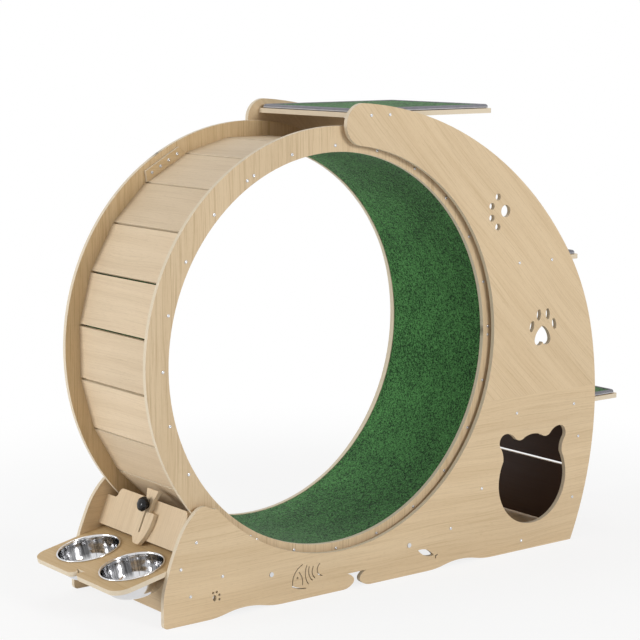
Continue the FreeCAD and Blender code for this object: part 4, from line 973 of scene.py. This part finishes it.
class WHEEL_OT_stage(bpy.types.Operator):
    """Sets the floor, the lamps and the camera"""

    bl_idname = "wheel.stage"
    bl_label = "Stage"

    def execute(self, context):
        stage = context.scene.wheel_looks.stage
        scene = context.scene
        scene.view_settings.view_transform = "Standard"
        self.world(scene, stage)
        self.floor(stage)
        lamp("key_lamp", *KEY_LAMP, stage.key)
        lamp("side_lamp", *SIDE_LAMP, stage.side)
        lamp("top_lamp", *TOP_LAMP, stage.top)
        self.camera(scene, stage)
        return {"FINISHED"}

    def world(self, scene, stage):
        """Even light, and plain white to the camera, in gloss and through glass."""
        world = bpy.data.worlds.new("studio")
        world.use_nodes = True
        tree = world.node_tree
        back = tree.nodes["Background"]
        back.inputs["Color"].default_value = (1.0, 1.0, 1.0, 1.0)
        path = tree.nodes.new("ShaderNodeLightPath")
        seen = path.outputs["Is Camera Ray"]
        for other in ("Is Glossy Ray", "Is Transmission Ray"):
            most = tree.nodes.new("ShaderNodeMath")
            most.operation = "MAXIMUM"
            tree.links.new(seen, most.inputs[0])
            tree.links.new(path.outputs[other], most.inputs[1])
            seen = most.outputs[0]
        strength = tree.nodes.new("ShaderNodeMapRange")
        tree.links.new(seen, strength.inputs["Value"])
        strength.inputs["To Min"].default_value = stage.sky
        strength.inputs["To Max"].default_value = 1.0
        tree.links.new(strength.outputs[0], back.inputs["Strength"])
        scene.world = world

    def floor(self, stage):
        """A level sheet far wider than the object, pure white far from it, where no shadow falls."""
        span = np.linspace(-FLOOR_REACH, FLOOR_REACH, 9)
        x, y = np.meshgrid(span, span, indexing="ij")
        flat = np.stack([x, y, np.full_like(x, -FLOOR_DROP)], axis=-1)
        sheet = grid_mesh("studio_floor", flat, smooth=False)
        finish = Finish("studio_floor")
        finish.shade(Base_Color=stage.floor, Roughness=0.9, Specular_IOR_Level=0.1)
        far = finish.add("ShaderNodeVectorMath", {"operation": "LENGTH"})
        finish.put(far, 0, finish.place.outputs["Object"])
        glow = finish.add("ShaderNodeEmission", Color=(1.0, 1.0, 1.0), Strength=1.0)
        path = finish.add("ShaderNodeLightPath")
        seen = finish.maths("MAXIMUM", path.outputs["Is Camera Ray"], path.outputs["Is Glossy Ray"])
        own_white = finish.between(far.outputs["Value"], *SHADOWS, stage.glow, 1.0)
        mix = finish.add("ShaderNodeMixShader")
        finish.put(mix, 0, finish.maths("MULTIPLY", own_white, seen))
        finish.put(mix, 1, finish.shader.outputs[0])
        finish.put(mix, 2, glow.outputs[0])
        finish.put(finish.output, "Surface", mix.outputs[0])
        sheet.data.materials.append(finish.material)

    def camera(self, scene, stage):
        """Azimuth 0 looks along +y; the camera's axes follow from azimuth, elevation and roll."""
        azimuth, elevation, roll = (math.radians(a) for a in stage.camera_turn)
        back = Vector((math.sin(azimuth) * math.cos(elevation), -math.cos(azimuth) * math.cos(elevation),
                       math.sin(elevation)))
        right = (-back).cross(Vector((0, 0, 1))).normalized()
        up = right.cross(-back)
        right, up = (math.cos(roll) * right + math.sin(roll) * up,
                     math.cos(roll) * up - math.sin(roll) * right)
        data = bpy.data.cameras.new("camera")
        data.sensor_width = SENSOR
        data.lens = stage.lens
        data.clip_end = 100.0
        holder = added("camera", data)
        turn = Matrix((right, up, back)).transposed()
        holder.matrix_world = Matrix.Translation(Vector(stage.camera_place)) @ turn.to_4x4()
        scene.camera = holder


class WHEEL_PT_looks(bpy.types.Panel):
    """Lists the pieces of the wheel's looks"""

    bl_idname = "WHEEL_PT_looks"
    bl_label = "Exercise wheel"
    bl_space_type = "VIEW_3D"
    bl_region_type = "UI"
    bl_category = "Wheel"

    def draw(self, context):
        looks = context.scene.wheel_looks
        for part in ("wood", "carpet", "metal", "plastic", "stage"):
            settings = getattr(looks, part)
            box = self.layout.box()
            box.label(text=part.capitalize())
            for name in settings.__annotations__:
                box.prop(settings, name)
        for operator in operators:
            self.layout.operator(operator.bl_idname)


operators = (WHEEL_OT_boards, WHEEL_OT_running_carpet, WHEEL_OT_step_pads, WHEEL_OT_bowls, WHEEL_OT_knob,
             WHEEL_OT_rollers, WHEEL_OT_screws, WHEEL_OT_stage)
classes = (WoodSettings, CarpetSettings, MetalSettings, PlasticSettings, StageSettings, WheelLooks,
           *operators, WHEEL_PT_looks)


def register():
    for item in classes:
        bpy.utils.register_class(item)
    bpy.types.Scene.wheel_looks = PointerProperty(type=WheelLooks)


def unregister():
    del bpy.types.Scene.wheel_looks
    for item in reversed(classes):
        bpy.utils.unregister_class(item)


def main():
    """Registers the classes and makes every piece in turn."""
    register()
    bpy.ops.wheel.boards()
    bpy.ops.wheel.running_carpet()
    bpy.ops.wheel.step_pads()
    bpy.ops.wheel.bowls()
    bpy.ops.wheel.knob()
    bpy.ops.wheel.rollers()
    bpy.ops.wheel.screws()
    bpy.ops.wheel.stage()


if __name__ == "__main__":
    main()
